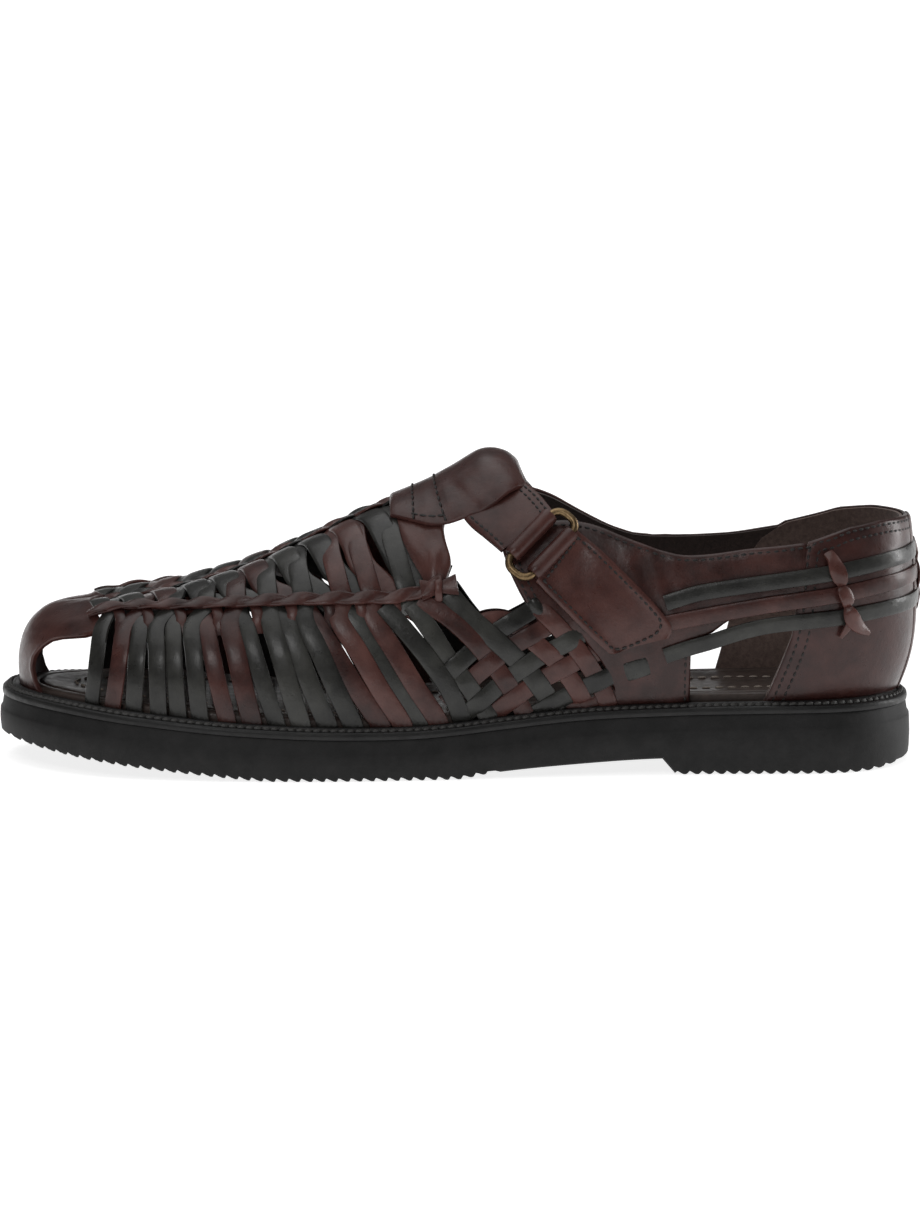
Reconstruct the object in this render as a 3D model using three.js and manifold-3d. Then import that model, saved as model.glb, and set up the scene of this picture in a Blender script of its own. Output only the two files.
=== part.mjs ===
// A left huarache sandal: rubber outsole with a sawtooth tread, stitched welt, insole, one hollow upper
// whose close weave is a single wall, and the fastening: instep strap, saddle, wire ring and a flap that
// folds back. Millimetres, +Z up. The toe points to -X and the outer (lateral) side faces -Y.
import * as THREE from "three";
import { mergeVertices } from "three/addons/utils/BufferGeometryUtils.js";
import Module from "manifold-3d";

const wasm = await Module();
wasm.setup();

// ---------------------------------------------------------------- driving dimensions
const SOLE_LENGTH = 298;
const TOE_ROUND = 46; // length of the rounded toe of the sole's outline
const HEEL_ROUND = 35; // length of the rounded heel
const ROUND_POWER = 2.2; // 2 would be an ellipse
const LAST_INSET = 8; // from the sole's edge in to the last's feather edge
const LEATHER = 2.2; // thickness of the upper's wall
const GAP = 0.3; // between two pieces that touch
const WELT_THICKNESS = 2.6;
const INSOLE_RISE = 3.2; // the insole's top above the welt
const LATERAL = -1;
const MEDIAL = 1;

// Sole, by distance u from its toe tip: half its width, the middle's offset to the medial side, the
// welt's top, and the lowest point of the tread.
const SOLE = [
  { u: 0, half: 38, middle: 6, top: 23.6, bottom: 9.0 },
  { u: 20, half: 42, middle: 3, top: 22.4, bottom: 6.4 },
  { u: 45, half: 47.5, middle: 0.5, top: 20.1, bottom: 3.8 },
  { u: 70, half: 50.5, middle: -1, top: 17.8, bottom: 1.5 },
  { u: 90, half: 51.5, middle: -1.5, top: 16.6, bottom: 0 },
  { u: 110, half: 50.5, middle: -2.5, top: 15.9, bottom: 0 },
  { u: 135, half: 47, middle: -3.5, top: 15.9, bottom: 0 },
  { u: 150, half: 44.5, middle: -4, top: 16.9, bottom: 0 },
  { u: 163, half: 42, middle: -4, top: 18.2, bottom: 2.0 },
  { u: 190, half: 38, middle: -3.5, top: 20.6, bottom: 4.0 },
  { u: 215, half: 36.2, middle: -2.5, top: 21.5, bottom: 5.2 },
  { u: 240, half: 36.2, middle: -1.5, top: 22.0, bottom: 5.2 },
  { u: 298, half: 36.5, middle: 0, top: 22.6, bottom: 5.2 },
];
// Last, by distance u: the ridge's height, the ridge's offset to the medial side, how square the section
// is (2 is an ellipse), and how far the wall swells outside its feather edge. Behind the instep the
// ridge closes a space that the collar cuts away.
const LAST = [
  { u: 20, ridge: 47.9, middle: 3.5, square: 3.2, swell: 0.6 },
  { u: 40, ridge: 51.2, middle: 2.5, square: 3.0, swell: 1.0 },
  { u: 60, ridge: 55.0, middle: 2.0, square: 2.7, swell: 1.4 },
  { u: 80, ridge: 61.0, middle: 2.0, square: 2.4, swell: 1.6 },
  { u: 100, ridge: 69.6, middle: 1.5, square: 2.15, swell: 1.8 },
  { u: 120, ridge: 79.0, middle: 1.0, square: 2.0, swell: 2.0 },
  { u: 140, ridge: 86.6, middle: 0.5, square: 1.95, swell: 2.3 },
  { u: 150, ridge: 90.4, middle: 0.2, square: 1.97, swell: 2.5 },
  { u: 160, ridge: 94.2, middle: 0, square: 2.0, swell: 2.8 },
  { u: 170, ridge: 93.8, middle: -0.2, square: 2.1, swell: 3.1 },
  { u: 180, ridge: 94.0, middle: -0.5, square: 2.25, swell: 3.4 },
  { u: 205, ridge: 97.5, middle: -1, square: 2.6, swell: 4.2 },
  { u: 240, ridge: 101.5, middle: -1, square: 3.0, swell: 5.6 },
  { u: 275, ridge: 103.5, middle: 0, square: 3.2, swell: 7.2 },
];
const RIDGE_START = 26; // the ridge's own ends, as distances u
const RIDGE_END = 275;
const SWELL_POWER = 0.9; // under 1 puts the widest point below mid height

const { sin, cos, acos, abs, max, min, PI } = Math;
const xOf = (u) => u - SOLE_LENGTH / 2;
const uOf = (x) => x + SOLE_LENGTH / 2;

// A table's column at u, on a smooth curve through its rows.
function read(table, column, u) {
  const end = table.length - 1;
  let i = 0;
  while (i < end - 1 && table[i + 1].u < u) i++;
  const slope = (k) => {
    const before = table[max(k - 1, 0)];
    const after = table[min(k + 1, end)];
    return (after[column] - before[column]) / (after.u - before.u);
  };
  const [a, b] = [table[i], table[i + 1]];
  const span = b.u - a.u;
  const t = THREE.MathUtils.clamp((u - a.u) / span, 0, 1);
  const value = (1 + 2 * t) * (1 - t) ** 2 * a[column] + t * t * (3 - 2 * t) * b[column];
  return value + span * t * (1 - t) * ((1 - t) * slope(i) - t * slope(i + 1));
}

// ---------------------------------------------------------------- forms
// 0 at the tip of a rounded end, 1 where the round is over.
function roundEnd(share) {
  const left = max(1 - max(share, 0), 0);
  return (1 - left ** ROUND_POWER) ** (1 / ROUND_POWER);
}

// A point of the sole's outline, moved in by inset. turn runs from 0 at the toe to 1 at the heel.
function outline(turn, side, inset) {
  const reach = SOLE_LENGTH / 2 - inset;
  const x = -reach * cos(PI * turn);
  const ends = roundEnd((reach + x) / TOE_ROUND) * roundEnd((reach - x) / HEEL_ROUND);
  const half = (read(SOLE, "half", uOf(x)) - inset) * ends;
  return { x, y: read(SOLE, "middle", uOf(x)) + side * half };
}

// A point of the last, grown outwards by off. turn is as in outline, and rise runs from 0 at the feather
// edge to 1 on the ridge.
function form(turn, side, rise, off) {
  const feather = outline(turn, side, LAST_INSET - off);
  const ridgeU = RIDGE_START + ((RIDGE_END - RIDGE_START) * (1 - cos(PI * turn))) / 2;
  const ridge = { x: xOf(ridgeU), y: read(LAST, "middle", ridgeU) };
  const low = read(SOLE, "top", uOf(feather.x)) + GAP;
  const high = read(LAST, "ridge", ridgeU) + off;
  const power = 2 / read(LAST, "square", ridgeU);
  const up = sin((rise * PI) / 2) ** power;
  const inward = 1 - cos((min(rise, 1) * PI) / 2) ** power;
  const across = Math.hypot(ridge.x - feather.x, ridge.y - feather.y);
  const swell = (read(LAST, "swell", ridgeU) * sin(PI * up ** SWELL_POWER)) / across;
  const share = rise >= 1 ? 1 : inward - swell;
  return new THREE.Vector3(
    feather.x + share * (ridge.x - feather.x),
    feather.y + share * (ridge.y - feather.y),
    low + up * (high - low),
  );
}

// The last's surface by true distance u from the toe and girth: -1 at the lateral feather edge, 0 on the
// ridge, 1 at the medial feather edge.
function surface(u, girth, off) {
  const side = girth < 0 ? LATERAL : MEDIAL;
  const rise = 1 - abs(girth);
  let aim = u;
  for (let step = 0; step < 8; step++) aim += u - uOf(form(turnAt(aim), side, rise, off).x);
  return form(turnAt(aim), side, rise, off);
}
const turnAt = (u) => acos(THREE.MathUtils.clamp(1 - (2 * u) / SOLE_LENGTH, -1, 1)) / PI;

// ---------------------------------------------------------------- solids
// A closed surface through rows of points, each row a closed loop. With tube true the last row joins the
// first; otherwise the two end rows are closed by strips from each point to its mirror in the loop.
function skin(rows, tube) {
  const count = rows[0].length;
  const triangles = [];
  const quad = (a, b, c, d) => triangles.push(a, b, c, a, c, d);
  const rowPairs = tube ? rows.length : rows.length - 1;
  for (let r = 0; r < rowPairs; r++) {
    const next = rows[(r + 1) % rows.length];
    for (let k = 0; k < count; k++) {
      const j = (k + 1) % count;
      quad(rows[r][k], rows[r][j], next[j], next[k]);
    }
  }
  if (!tube) {
    const [bottom, top] = [rows[0], rows[rows.length - 1]];
    for (let k = 0; k < count / 2; k++) {
      const [back, ahead] = [(count - k) % count, count - k - 1];
      quad(bottom[k], bottom[back], bottom[ahead], bottom[k + 1]);
      quad(top[k], top[k + 1], top[ahead], top[back]);
    }
  }
  return geometryOf(triangles);
}

// Triangles as a geometry, without those that have shrunk to a line.
function geometryOf(triangles) {
  const sound = [];
  for (let i = 0; i < triangles.length; i += 3) {
    const [a, b, c] = triangles.slice(i, i + 3);
    if (a.distanceTo(b) > 1e-4 && b.distanceTo(c) > 1e-4 && c.distanceTo(a) > 1e-4) sound.push(a, b, c);
  }
  return new THREE.BufferGeometry().setFromPoints(sound);
}

// A closed geometry as a solid with its faces outwards.
function solidOf(geometry) {
  const bare = geometry.index ? geometry.toNonIndexed() : geometry.clone();
  bare.deleteAttribute("normal");
  bare.deleteAttribute("uv");
  const merged = mergeVertices(bare, 1e-4);
  const vertProperties = merged.attributes.position.array;
  const triVerts = new Uint32Array(merged.index.array);
  const made = new wasm.Manifold(new wasm.Mesh({ numProp: 3, vertProperties, triVerts }));
  if (made.volume() > 0) return made;
  for (let i = 0; i < triVerts.length; i += 3) {
    [triVerts[i + 1], triVerts[i + 2]] = [triVerts[i + 2], triVerts[i + 1]];
  }
  return new wasm.Manifold(new wasm.Mesh({ numProp: 3, vertProperties, triVerts }));
}

// A solid as a named mesh.
function meshOf(name, solid, material) {
  const made = solid.getMesh();
  const geometry = new THREE.BufferGeometry()
    .setAttribute("position", new THREE.BufferAttribute(made.vertProperties, 3))
    .setIndex(new THREE.BufferAttribute(made.triVerts, 1));
  geometry.computeVertexNormals();
  const mesh = new THREE.Mesh(geometry, material);
  mesh.name = name;
  return mesh;
}

// A loop round the shoe: lateral side from toe to heel, then back along the medial side.
function loopOf(turns, point) {
  const lateral = turns.map((turn) => point(turn, LATERAL));
  const medial = turns.slice(1, -1).reverse().map((turn) => point(turn, MEDIAL));
  return [...lateral, ...medial];
}
const evenTurns = (count) => Array.from({ length: count + 1 }, (_, i) => i / count);

// A loop of the outline at an inset, at the height that a function of u gives.
function ringAt(turns, inset, height) {
  return loopOf(turns, (turn, side) => {
    const { x, y } = outline(turn, side, inset);
    return new THREE.Vector3(x, y, height(uOf(x)));
  });
}

// ---------------------------------------------------------------- outsole
const TREAD_PITCH = 4;
const TREAD_DEPTH = 1.5;
const TREAD_FLAT = 0.9; // width of each tooth's tip
// Each zone of teeth, from and to as distances u, and how far its last edge stands above the tips.
const FOREFOOT_TREAD = { from: 6, to: 162, last: 0.4 };
const HEEL_TREAD = { from: 221, to: 293, last: TREAD_DEPTH };
const BREAST = { top: 216.5, foot: 221 }; // the heel's sloping front face
const HEEL_BEVEL = { from: 279, rise: 2.4 }; // the heel's rear lower edge curves up
// Stations of the plain parts before, between and behind the teeth.
const TOE_STATIONS = [0, 2];
const WAIST_STATIONS = [172, 183, 194, 205, BREAST.top - 0.1, BREAST.foot - 0.3];
const HEEL_STATIONS = [296, SOLE_LENGTH];
// The side wall: how far the teeth, the shoulder and the top are set in, and where the wall starts and
// ends.
const WALL = { teeth: 0.5, shoulder: 0.3, top: 1.7, startRise: 2.6, shoulderDrop: 4.2 };

// The height of the teeth's tips, or of the plain waist. Ball and heel lie flat on the floor.
function treadTip(u) {
  if (u < BREAST.top) return max(read(SOLE, "bottom", u), 0);
  if (u < BREAST.foot) return (read(SOLE, "bottom", u) * (BREAST.foot - u)) / (BREAST.foot - BREAST.top);
  const past = max((u - HEEL_BEVEL.from) / (SOLE_LENGTH - HEEL_BEVEL.from), 0);
  return HEEL_BEVEL.rise * past * past;
}

// The stations of one zone's teeth: distance u, and how far the edge is lifted above the tips there.
function teethOf({ from, to, last }) {
  const stations = [];
  for (let u = from; u <= to - TREAD_PITCH; u += TREAD_PITCH) {
    const tip = u + (TREAD_PITCH - TREAD_FLAT) / 2;
    stations.push({ u, lift: TREAD_DEPTH }, { u: tip, lift: 0 }, { u: tip + TREAD_FLAT, lift: 0 });
  }
  stations.push({ u: to, lift: last });
  return stations;
}

function treadStations() {
  const plain = (u) => ({ u, lift: 0 });
  return [
    ...TOE_STATIONS.map(plain),
    ...teethOf(FOREFOOT_TREAD),
    ...WAIST_STATIONS.map(plain),
    ...teethOf(HEEL_TREAD),
    ...HEEL_STATIONS.map(plain),
  ];
}

function outsole() {
  const stations = treadStations();
  const turns = stations.map(({ u }) => turnAt(u));
  const liftAt = new Map(stations.map(({ u, lift }) => [u.toFixed(2), lift]));
  const topOf = (u) => read(SOLE, "top", u) - WELT_THICKNESS - GAP;
  const teeth = loopOf(turns, (turn, side) => {
    const u = (SOLE_LENGTH * (1 - cos(PI * turn))) / 2;
    const { x, y } = outline(turn, side, WALL.teeth);
    return new THREE.Vector3(x, y, treadTip(u) + liftAt.get(u.toFixed(2)));
  });
  return skin([
    teeth,
    ringAt(turns, 0, (u) => treadTip(u) + WALL.startRise),
    ringAt(turns, WALL.shoulder, (u) => topOf(u) - WALL.shoulderDrop),
    ringAt(turns, WALL.top, topOf),
  ], false);
}

// ---------------------------------------------------------------- welt and insole
const SOLE_TURNS = evenTurns(40);
const WELT = { outer: 1.3, inner: 11 }; // its edges' insets from the sole's outline
const SOCK_INSET = LAST_INSET + 0.5; // the insole's edge, just inside the upper
const SOCK_EDGE = 0.8; // the bevel round its top
const weltTop = (u) => read(SOLE, "top", u);
const weltBottom = (u) => weltTop(u) - WELT_THICKNESS;

function welt() {
  return skin([
    ringAt(SOLE_TURNS, WELT.outer, weltBottom),
    ringAt(SOLE_TURNS, WELT.outer, weltTop),
    ringAt(SOLE_TURNS, WELT.inner, weltTop),
    ringAt(SOLE_TURNS, WELT.inner, weltBottom),
  ], true);
}

// The insole fills the welt's ring and spreads over its top.
function insole() {
  const plug = WELT.inner + GAP;
  return skin([
    ringAt(SOLE_TURNS, plug, weltBottom),
    ringAt(SOLE_TURNS, plug, (u) => weltTop(u) + GAP),
    ringAt(SOLE_TURNS, SOCK_INSET, (u) => weltTop(u) + GAP),
    ringAt(SOLE_TURNS, SOCK_INSET, (u) => weltTop(u) + INSOLE_RISE - SOCK_EDGE),
    ringAt(SOLE_TURNS, SOCK_INSET + SOCK_EDGE, (u) => weltTop(u) + INSOLE_RISE),
  ], false);
}

// ---------------------------------------------------------------- upper
const UPPER_TURNS = evenTurns(44);
const UPPER_RISES = [0, 0.06, 0.13, 0.2, 0.28, 0.36, 0.45, 0.54, 0.64, 0.75, 0.87, 1];
const BELOW = 6; // how far a cutter runs past what it cuts

// A closed dome over the whole last, grown by off, its foot lowered by drop.
function dome(off, drop) {
  const rows = UPPER_RISES.map((rise) => loopOf(UPPER_TURNS, (turn, side) => form(turn, side, rise, off)));
  rows[0] = rows[0].map((point) => new THREE.Vector3(point.x, point.y, point.z - drop));
  return solidOf(skin(rows, false));
}

// Collar and throat seen from the side, as [u, z]: behind the tongue, down its edge to the throat's
// foot, up the quarter's front edge and back along the topline.
const TONGUE_END = 169.5;
const COLLAR = [
  [TONGUE_END, 125], [TONGUE_END, 84], [149, 81], [146.5, 77], [147.5, 70], [148.5, 64], [152, 57.5],
  [157, 53.5], [165, 52], [171, 55.5], [166, 64], [165, 72], [170, 77], [180, 80.5], [191, 80],
  [197, 78.3], [210, 73], [223, 69.6],
  [243, 71.4], [262, 73.4], [274, 76.8], [286, 79.2], [310, 80.4], [310, 125],
];
// Openings that both sides share, as [u, z].
const TOE_WINDOW = [[14, 37], [16, 40.5], [19, 43], [24, 44.5], [29.5, 44.5], [28.5, 27.5], [15.5, 28]];
const STRAP_WINDOW = [[226, 43.5], [231, 48], [240, 49.5], [239, 45], [230, 43]];
// The window in front of the counter reaches further back on the lateral side.
const WINDOW_FRONT = 226;
const WINDOW_SILL = 26.5;
const LATERAL_WINDOW = [
  [WINDOW_FRONT, WINDOW_SILL], [WINDOW_FRONT, 36.5], [233, 40], [245, 44.5], [257, 46], [256, 39],
  [252, WINDOW_SILL],
];
const MEDIAL_WINDOW = [
  [WINDOW_FRONT, WINDOW_SILL], [WINDOW_FRONT, 36.5], [233, 40], [238, 42], [237.5, 34], [235.5, WINDOW_SILL],
];
// Slots between the side strips fan out towards the sole.
const SLOT_COUNT = 14;
const SLOT_WIDTH = 1.7;
const SLOT_LIFT = 7; // from the welt up to a slot's foot
const slotFoot = (k) => 34 + 7.1 * k + 0.06 * k * k;
const slotHead = (k) => 40 + 6.1 * k + 0.03 * k * k;
const slotTop = (k) => 46 + min(k, 5);

const REACH = 70; // well past half the shoe's width
const BOTH = 0;

// A prism across one side of the shoe, or right through it with side BOTH, from an outline in [u, z].
function crossCut(corners, side) {
  const shape = new THREE.Shape(corners.map(([u, z]) => new THREE.Vector2(xOf(u), z)));
  const depth = side === BOTH ? 2 * REACH : REACH;
  const geometry = new THREE.ExtrudeGeometry(shape, { depth, bevelEnabled: false });
  geometry.rotateX(PI / 2); // now it runs along -Y
  geometry.translate(0, side === LATERAL ? 0 : REACH, 0);
  return solidOf(geometry);
}

function slot(k) {
  const [foot, head] = [slotFoot(k), slotHead(k)];
  const [low, high] = [weltTop(foot) + SLOT_LIFT, slotTop(k)];
  const wide = SLOT_WIDTH / 2;
  return [[foot - wide, low], [foot + wide, low], [head + wide, high], [head - wide, high]];
}

function upper() {
  const walls = dome(LEATHER, 0).subtract(dome(0, BELOW));
  const openings = [
    crossCut(COLLAR, BOTH),
    crossCut(TOE_WINDOW, BOTH),
    crossCut(STRAP_WINDOW, BOTH),
    crossCut(LATERAL_WINDOW, LATERAL),
    crossCut(MEDIAL_WINDOW, MEDIAL),
  ];
  for (let k = 0; k < SLOT_COUNT; k++) openings.push(crossCut(slot(k), BOTH));
  return openings.reduce((wall, opening) => wall.subtract(opening), walls);
}

// ---------------------------------------------------------------- straps laid over the upper
const GIRTH_STEPS = 40; // how finely a section of the last is measured

// A point of the last by distance u and by the distance q from the ridge along the section, minus on the
// lateral side.
function laid(u, q, off) {
  const side = q < 0 ? LATERAL : MEDIAL;
  let before = surface(u, 0, 0);
  let gone = 0;
  for (let i = 1; i <= GIRTH_STEPS; i++) {
    const point = surface(u, (side * i) / GIRTH_STEPS, 0);
    const length = point.distanceTo(before);
    const part = (abs(q) - gone) / length;
    if (part <= 1) return surface(u, (side * (i - 1 + part)) / GIRTH_STEPS, off);
    gone += length;
    before = point;
  }
  return surface(u, side, off);
}

const ACROSS = [-1, -0.5, 0, 0.5, 1]; // where a ribbon's section has points, in shares of half its width
const EDGE_BULGE = 0.4; // how far a ribbon's edge bulges, in thicknesses

// A ribbon along stations of {u, q, half, low, high}: its middle, half its width and its two faces'
// offsets.
function ribbon(stations) {
  const rows = stations.map((at, i) => {
    const before = stations[max(i - 1, 0)];
    const after = stations[min(i + 1, stations.length - 1)];
    const along = new THREE.Vector2(after.u - before.u, after.q - before.q).normalize();
    const point = (share, off) => {
      const reach = share * at.half;
      return laid(at.u - along.y * reach, at.q + along.x * reach, off);
    };
    const middle = (at.low + at.high) / 2;
    const round = 1 + (EDGE_BULGE * (at.high - at.low)) / at.half;
    return [
      point(-round, middle),
      ...ACROSS.map((share) => point(share, at.high)),
      point(round, middle),
      ...ACROSS.map((share) => point(-share, at.low)),
    ];
  });
  return solidOf(skin(rows, false));
}

// Stations spread evenly along a smooth path through rows of a table, with every column carried along.
function spread(rows, count) {
  const timed = rows.map((row, i) => ({ ...row, place: i }));
  return Array.from({ length: count + 1 }, (_, i) => {
    const place = (i / count) * (rows.length - 1);
    const station = {};
    for (const column of Object.keys(rows[0])) station[column] = readAt(timed, column, place);
    return station;
  });
}

// A column's value at a place counted in rows.
function readAt(rows, column, place) {
  return read(rows.map((row) => ({ u: row.place, value: row[column] })), "value", place);
}

const RING = { u: 177.3, q: -38.2, off: 5.5, wire: 1.3, long: 25.8, short: 9.4, corner: 3.4 };
const RING_STEPS = 56; // along its wire
const RING_SIDES = 10; // round its wire
const ROLL = { inner: 1.6, outer: 2.9, half: 9.2, sides: 20 }; // leather rolled round a bar of the ring
const BORE_EXTRA = 8; // how far the cutter of a roll's bore runs past each end
const STRAP_HEADING = new THREE.Vector2(1, -0.86).normalize(); // in (u, q), where the strap meets the ring
const NUDGE = 4; // how far apart the points lie that give the ring's axes

// The ring's middle and its own axes: along the strap and along its bars.
function ringFrame() {
  const at = laid(RING.u, RING.q, RING.off);
  const step = STRAP_HEADING.clone().multiplyScalar(NUDGE);
  const nudge = (du, dq) => laid(RING.u + du, RING.q + dq, RING.off);
  const along = nudge(step.x, step.y).sub(nudge(-step.x, -step.y)).normalize();
  const across = nudge(-step.y, step.x).sub(nudge(step.y, -step.x)).normalize();
  const out = new THREE.Vector3().crossVectors(along, across).normalize();
  const bars = new THREE.Vector3().crossVectors(out, along).normalize();
  return { at, along, bars };
}

function ring() {
  const { at, along, bars } = ringFrame();
  const corners = roundedRectangle(RING.short, RING.long, RING.corner);
  const points = corners.map(([a, b]) => at.clone().addScaledVector(along, a).addScaledVector(bars, b));
  const path = new THREE.CatmullRomCurve3(points, true, "catmullrom", 0.2);
  return solidOf(new THREE.TubeGeometry(path, RING_STEPS, RING.wire, RING_SIDES, true));
}

const CORNER_STEPS = 3;

// Points round a rectangle with rounded corners.
function roundedRectangle(width, height, radius) {
  const points = [];
  for (const [sx, sy, start] of [[1, 1, 0], [-1, 1, PI / 2], [-1, -1, PI], [1, -1, 1.5 * PI]]) {
    for (let i = 0; i <= CORNER_STEPS; i++) {
      const angle = start + (i / CORNER_STEPS) * (PI / 2);
      points.push([
        sx * (width / 2 - radius) + radius * cos(angle),
        sy * (height / 2 - radius) + radius * sin(angle),
      ]);
    }
  }
  return points;
}

// A cylinder along one bar of the ring: bar is -1 for the strap's, 1 for the flap's.
function barCylinder(bar, radius, half) {
  const { at, along, bars } = ringFrame();
  const middle = at.clone().addScaledVector(along, (bar * RING.short) / 2);
  const geometry = new THREE.CylinderGeometry(radius, radius, 2 * half, ROLL.sides, 1);
  const turn = new THREE.Quaternion().setFromUnitVectors(new THREE.Vector3(0, 1, 0), bars);
  geometry.applyQuaternion(turn);
  geometry.translate(middle.x, middle.y, middle.z);
  return solidOf(geometry);
}

// A ribbon whose first end is rolled round one bar of the ring.
function hungFrom(bar, stations) {
  const roll = barCylinder(bar, ROLL.outer, ROLL.half);
  const bore = barCylinder(bar, ROLL.inner, ROLL.half + BORE_EXTRA);
  return ribbon(stations).add(roll).subtract(bore);
}

// Where the leather leaves its roll: bar is -1 for the strap's, 1 for the flap's.
function leaving(bar) {
  const step = bar * (RING.short / 2 + ROLL.inner);
  return { u: RING.u + step * STRAP_HEADING.x, q: RING.q + step * STRAP_HEADING.y };
}
const STRAP_STEPS = 26;
const FLAP_STEPS = 18;

// Over the instep, from the ring through the tongue's loop to the medial quarter.
function instepStrap() {
  return hungFrom(-1, spread([
    { ...leaving(-1), half: 10.2, low: 4.0, high: 6.2 },
    { u: 168.4, q: -28.5, half: 10.8, low: 3.4, high: 5.4 },
    { u: 163.4, q: -20.6, half: 10.0, low: 3.0, high: 5.0 },
    { u: 158.6, q: -10.5, half: 9.2, low: 3.0, high: 5.0 },
    { u: 156.8, q: 0, half: 9.2, low: 3.0, high: 5.0 },
    { u: 158.6, q: 10.5, half: 9.2, low: 3.0, high: 5.0 },
    { u: 164, q: 20, half: 9.2, low: 2.8, high: 4.8 },
    { u: 171, q: 30, half: 9.2, low: 2.6, high: 4.6 },
    { u: 181, q: 42, half: 9.2, low: 2.6, high: 4.6 },
    { u: 193, q: 54, half: 9.2, low: 2.6, high: 4.6 },
  ], STRAP_STEPS));
}

// Back down from the ring over the quarter, to a rounded end.
function flap() {
  return hungFrom(1, spread([
    { ...leaving(1), half: 9.8, low: 4.2, high: 6.2 },
    { u: 188.6, q: -48.4, half: 10.2, low: 2.7, high: 4.7 },
    { u: 197.2, q: -57.4, half: 10.2, low: 2.6, high: 4.4 },
    { u: 204.6, q: -65.2, half: 10.1, low: 2.6, high: 4.4 },
    { u: 208.6, q: -70.2, half: 8.4, low: 2.6, high: 4.2 },
  ], FLAP_STEPS));
}

// The saddle lies on the vamp and loops over the strap down to the tongue's end. Its profile from front
// to back, as distance u, and the offset of its lower face.
const SADDLE_THICKNESS = 1.8;
const SADDLE_HALF = 15; // from the ridge down each side
const SADDLE_STEPS = 8; // from the ridge down each side
const SADDLE_EDGE = 0.7; // how far its front and back edges bulge
const SADDLE_PROFILE = [
  { u: 130, off: 2.6 },
  { u: 135.5, off: 2.6 },
  { u: 140, off: 2.6 },
  { u: 142, off: 3.2 },
  { u: 144.5, off: 5.4 },
  { u: 148, off: 5.7 },
  { u: 153, off: 5.7 },
  { u: 158, off: 5.7 },
  { u: 164, off: 5.7 },
  { u: 168, off: 5.6 },
  { u: 169.5, off: 4.8 },
  { u: 171, off: 3.8 },
];
// Down the sides the loop swings backwards with the strap: where that starts, how soon it is full, and
// how fast.
const SADDLE_SWING = { from: 141, over: 8, pull: 0.022 };

function saddle() {
  const front = SADDLE_PROFILE[0];
  const back = SADDLE_PROFILE[SADDLE_PROFILE.length - 1];
  const rows = [];
  for (let i = -SADDLE_STEPS; i <= SADDLE_STEPS; i++) {
    const q = (i * SADDLE_HALF) / SADDLE_STEPS;
    const point = (u, off) => {
      const share = THREE.MathUtils.clamp((u - SADDLE_SWING.from) / SADDLE_SWING.over, 0, 1);
      return laid(u + SADDLE_SWING.pull * q * q * share, q, off);
    };
    rows.push([
      point(front.u - SADDLE_EDGE, front.off + SADDLE_THICKNESS / 2),
      ...SADDLE_PROFILE.map(({ u, off }) => point(u, off + SADDLE_THICKNESS)),
      point(back.u + SADDLE_EDGE, back.off + SADDLE_THICKNESS / 2),
      ...SADDLE_PROFILE.map(({ u, off }) => point(u, off)).reverse(),
    ]);
  }
  return solidOf(skin(rows, false));
}

// ---------------------------------------------------------------- materials and assembly
const paint = (color, roughness, metalness = 0) =>
  new THREE.MeshStandardMaterial({ color, roughness, metalness });
const rubber = paint(0x1c1b1b, 0.8);
const weltLeather = paint(0x232020, 0.5);
const sockLeather = paint(0x5a4438, 0.7);
const wovenLeather = paint(0x4a2a26, 0.4);
const strapLeather = paint(0x55302a, 0.4);
const brass = paint(0x8c6c3c, 0.35, 1);

const assembly = new THREE.Group();
assembly.add(
  meshOf("outsole", solidOf(outsole()), rubber),
  meshOf("welt", solidOf(welt()), weltLeather),
  meshOf("insole", solidOf(insole()), sockLeather),
  meshOf("upper", upper(), wovenLeather),
  meshOf("saddle", saddle(), strapLeather.clone()),
  meshOf("instep_strap", instepStrap(), strapLeather),
  meshOf("flap", flap(), strapLeather.clone()),
  meshOf("ring", ring(), brass),
);

// The origin is the middle of the whole part's bounding box, on the floor.
const bounds = new THREE.Box3().setFromObject(assembly);
const middle = bounds.getCenter(new THREE.Vector3());
for (const mesh of assembly.children) mesh.geometry.translate(-middle.x, -middle.y, -bounds.min.z);

export default assembly;
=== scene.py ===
"""The looks of a left huarache sandal: woven leather strips on a last, quarters, counter, straps, ring and
flap, a stitched welt and a black rubber sole. Lengths are in millimetres until a mesh is made, then metres in
the row frame. Distance u runs back from the sole's toe tip, q down from the ridge, and z up from the floor.
Offsets are measured outwards from the last."""

import math

import bpy
import numpy as np
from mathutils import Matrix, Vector
from mathutils.geometry import delaunay_2d_cdt


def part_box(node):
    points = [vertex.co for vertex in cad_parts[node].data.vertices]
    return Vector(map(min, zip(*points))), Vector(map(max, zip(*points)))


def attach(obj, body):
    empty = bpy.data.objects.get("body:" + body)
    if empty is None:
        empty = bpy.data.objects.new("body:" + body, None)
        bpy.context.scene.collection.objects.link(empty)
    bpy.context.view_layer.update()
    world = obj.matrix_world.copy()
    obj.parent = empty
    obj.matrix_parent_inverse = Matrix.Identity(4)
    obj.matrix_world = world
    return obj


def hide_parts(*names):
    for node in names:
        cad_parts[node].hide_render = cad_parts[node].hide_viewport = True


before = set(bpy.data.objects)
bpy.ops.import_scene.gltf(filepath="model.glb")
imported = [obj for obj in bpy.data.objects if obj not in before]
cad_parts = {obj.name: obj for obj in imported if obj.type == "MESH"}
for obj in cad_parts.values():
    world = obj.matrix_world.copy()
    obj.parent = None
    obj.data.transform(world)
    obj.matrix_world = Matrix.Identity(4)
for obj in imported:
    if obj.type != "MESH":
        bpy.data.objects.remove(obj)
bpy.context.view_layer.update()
rng = np.random.default_rng(11)
LATERAL, MEDIAL = -1, 1
MM = 0.001

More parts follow.
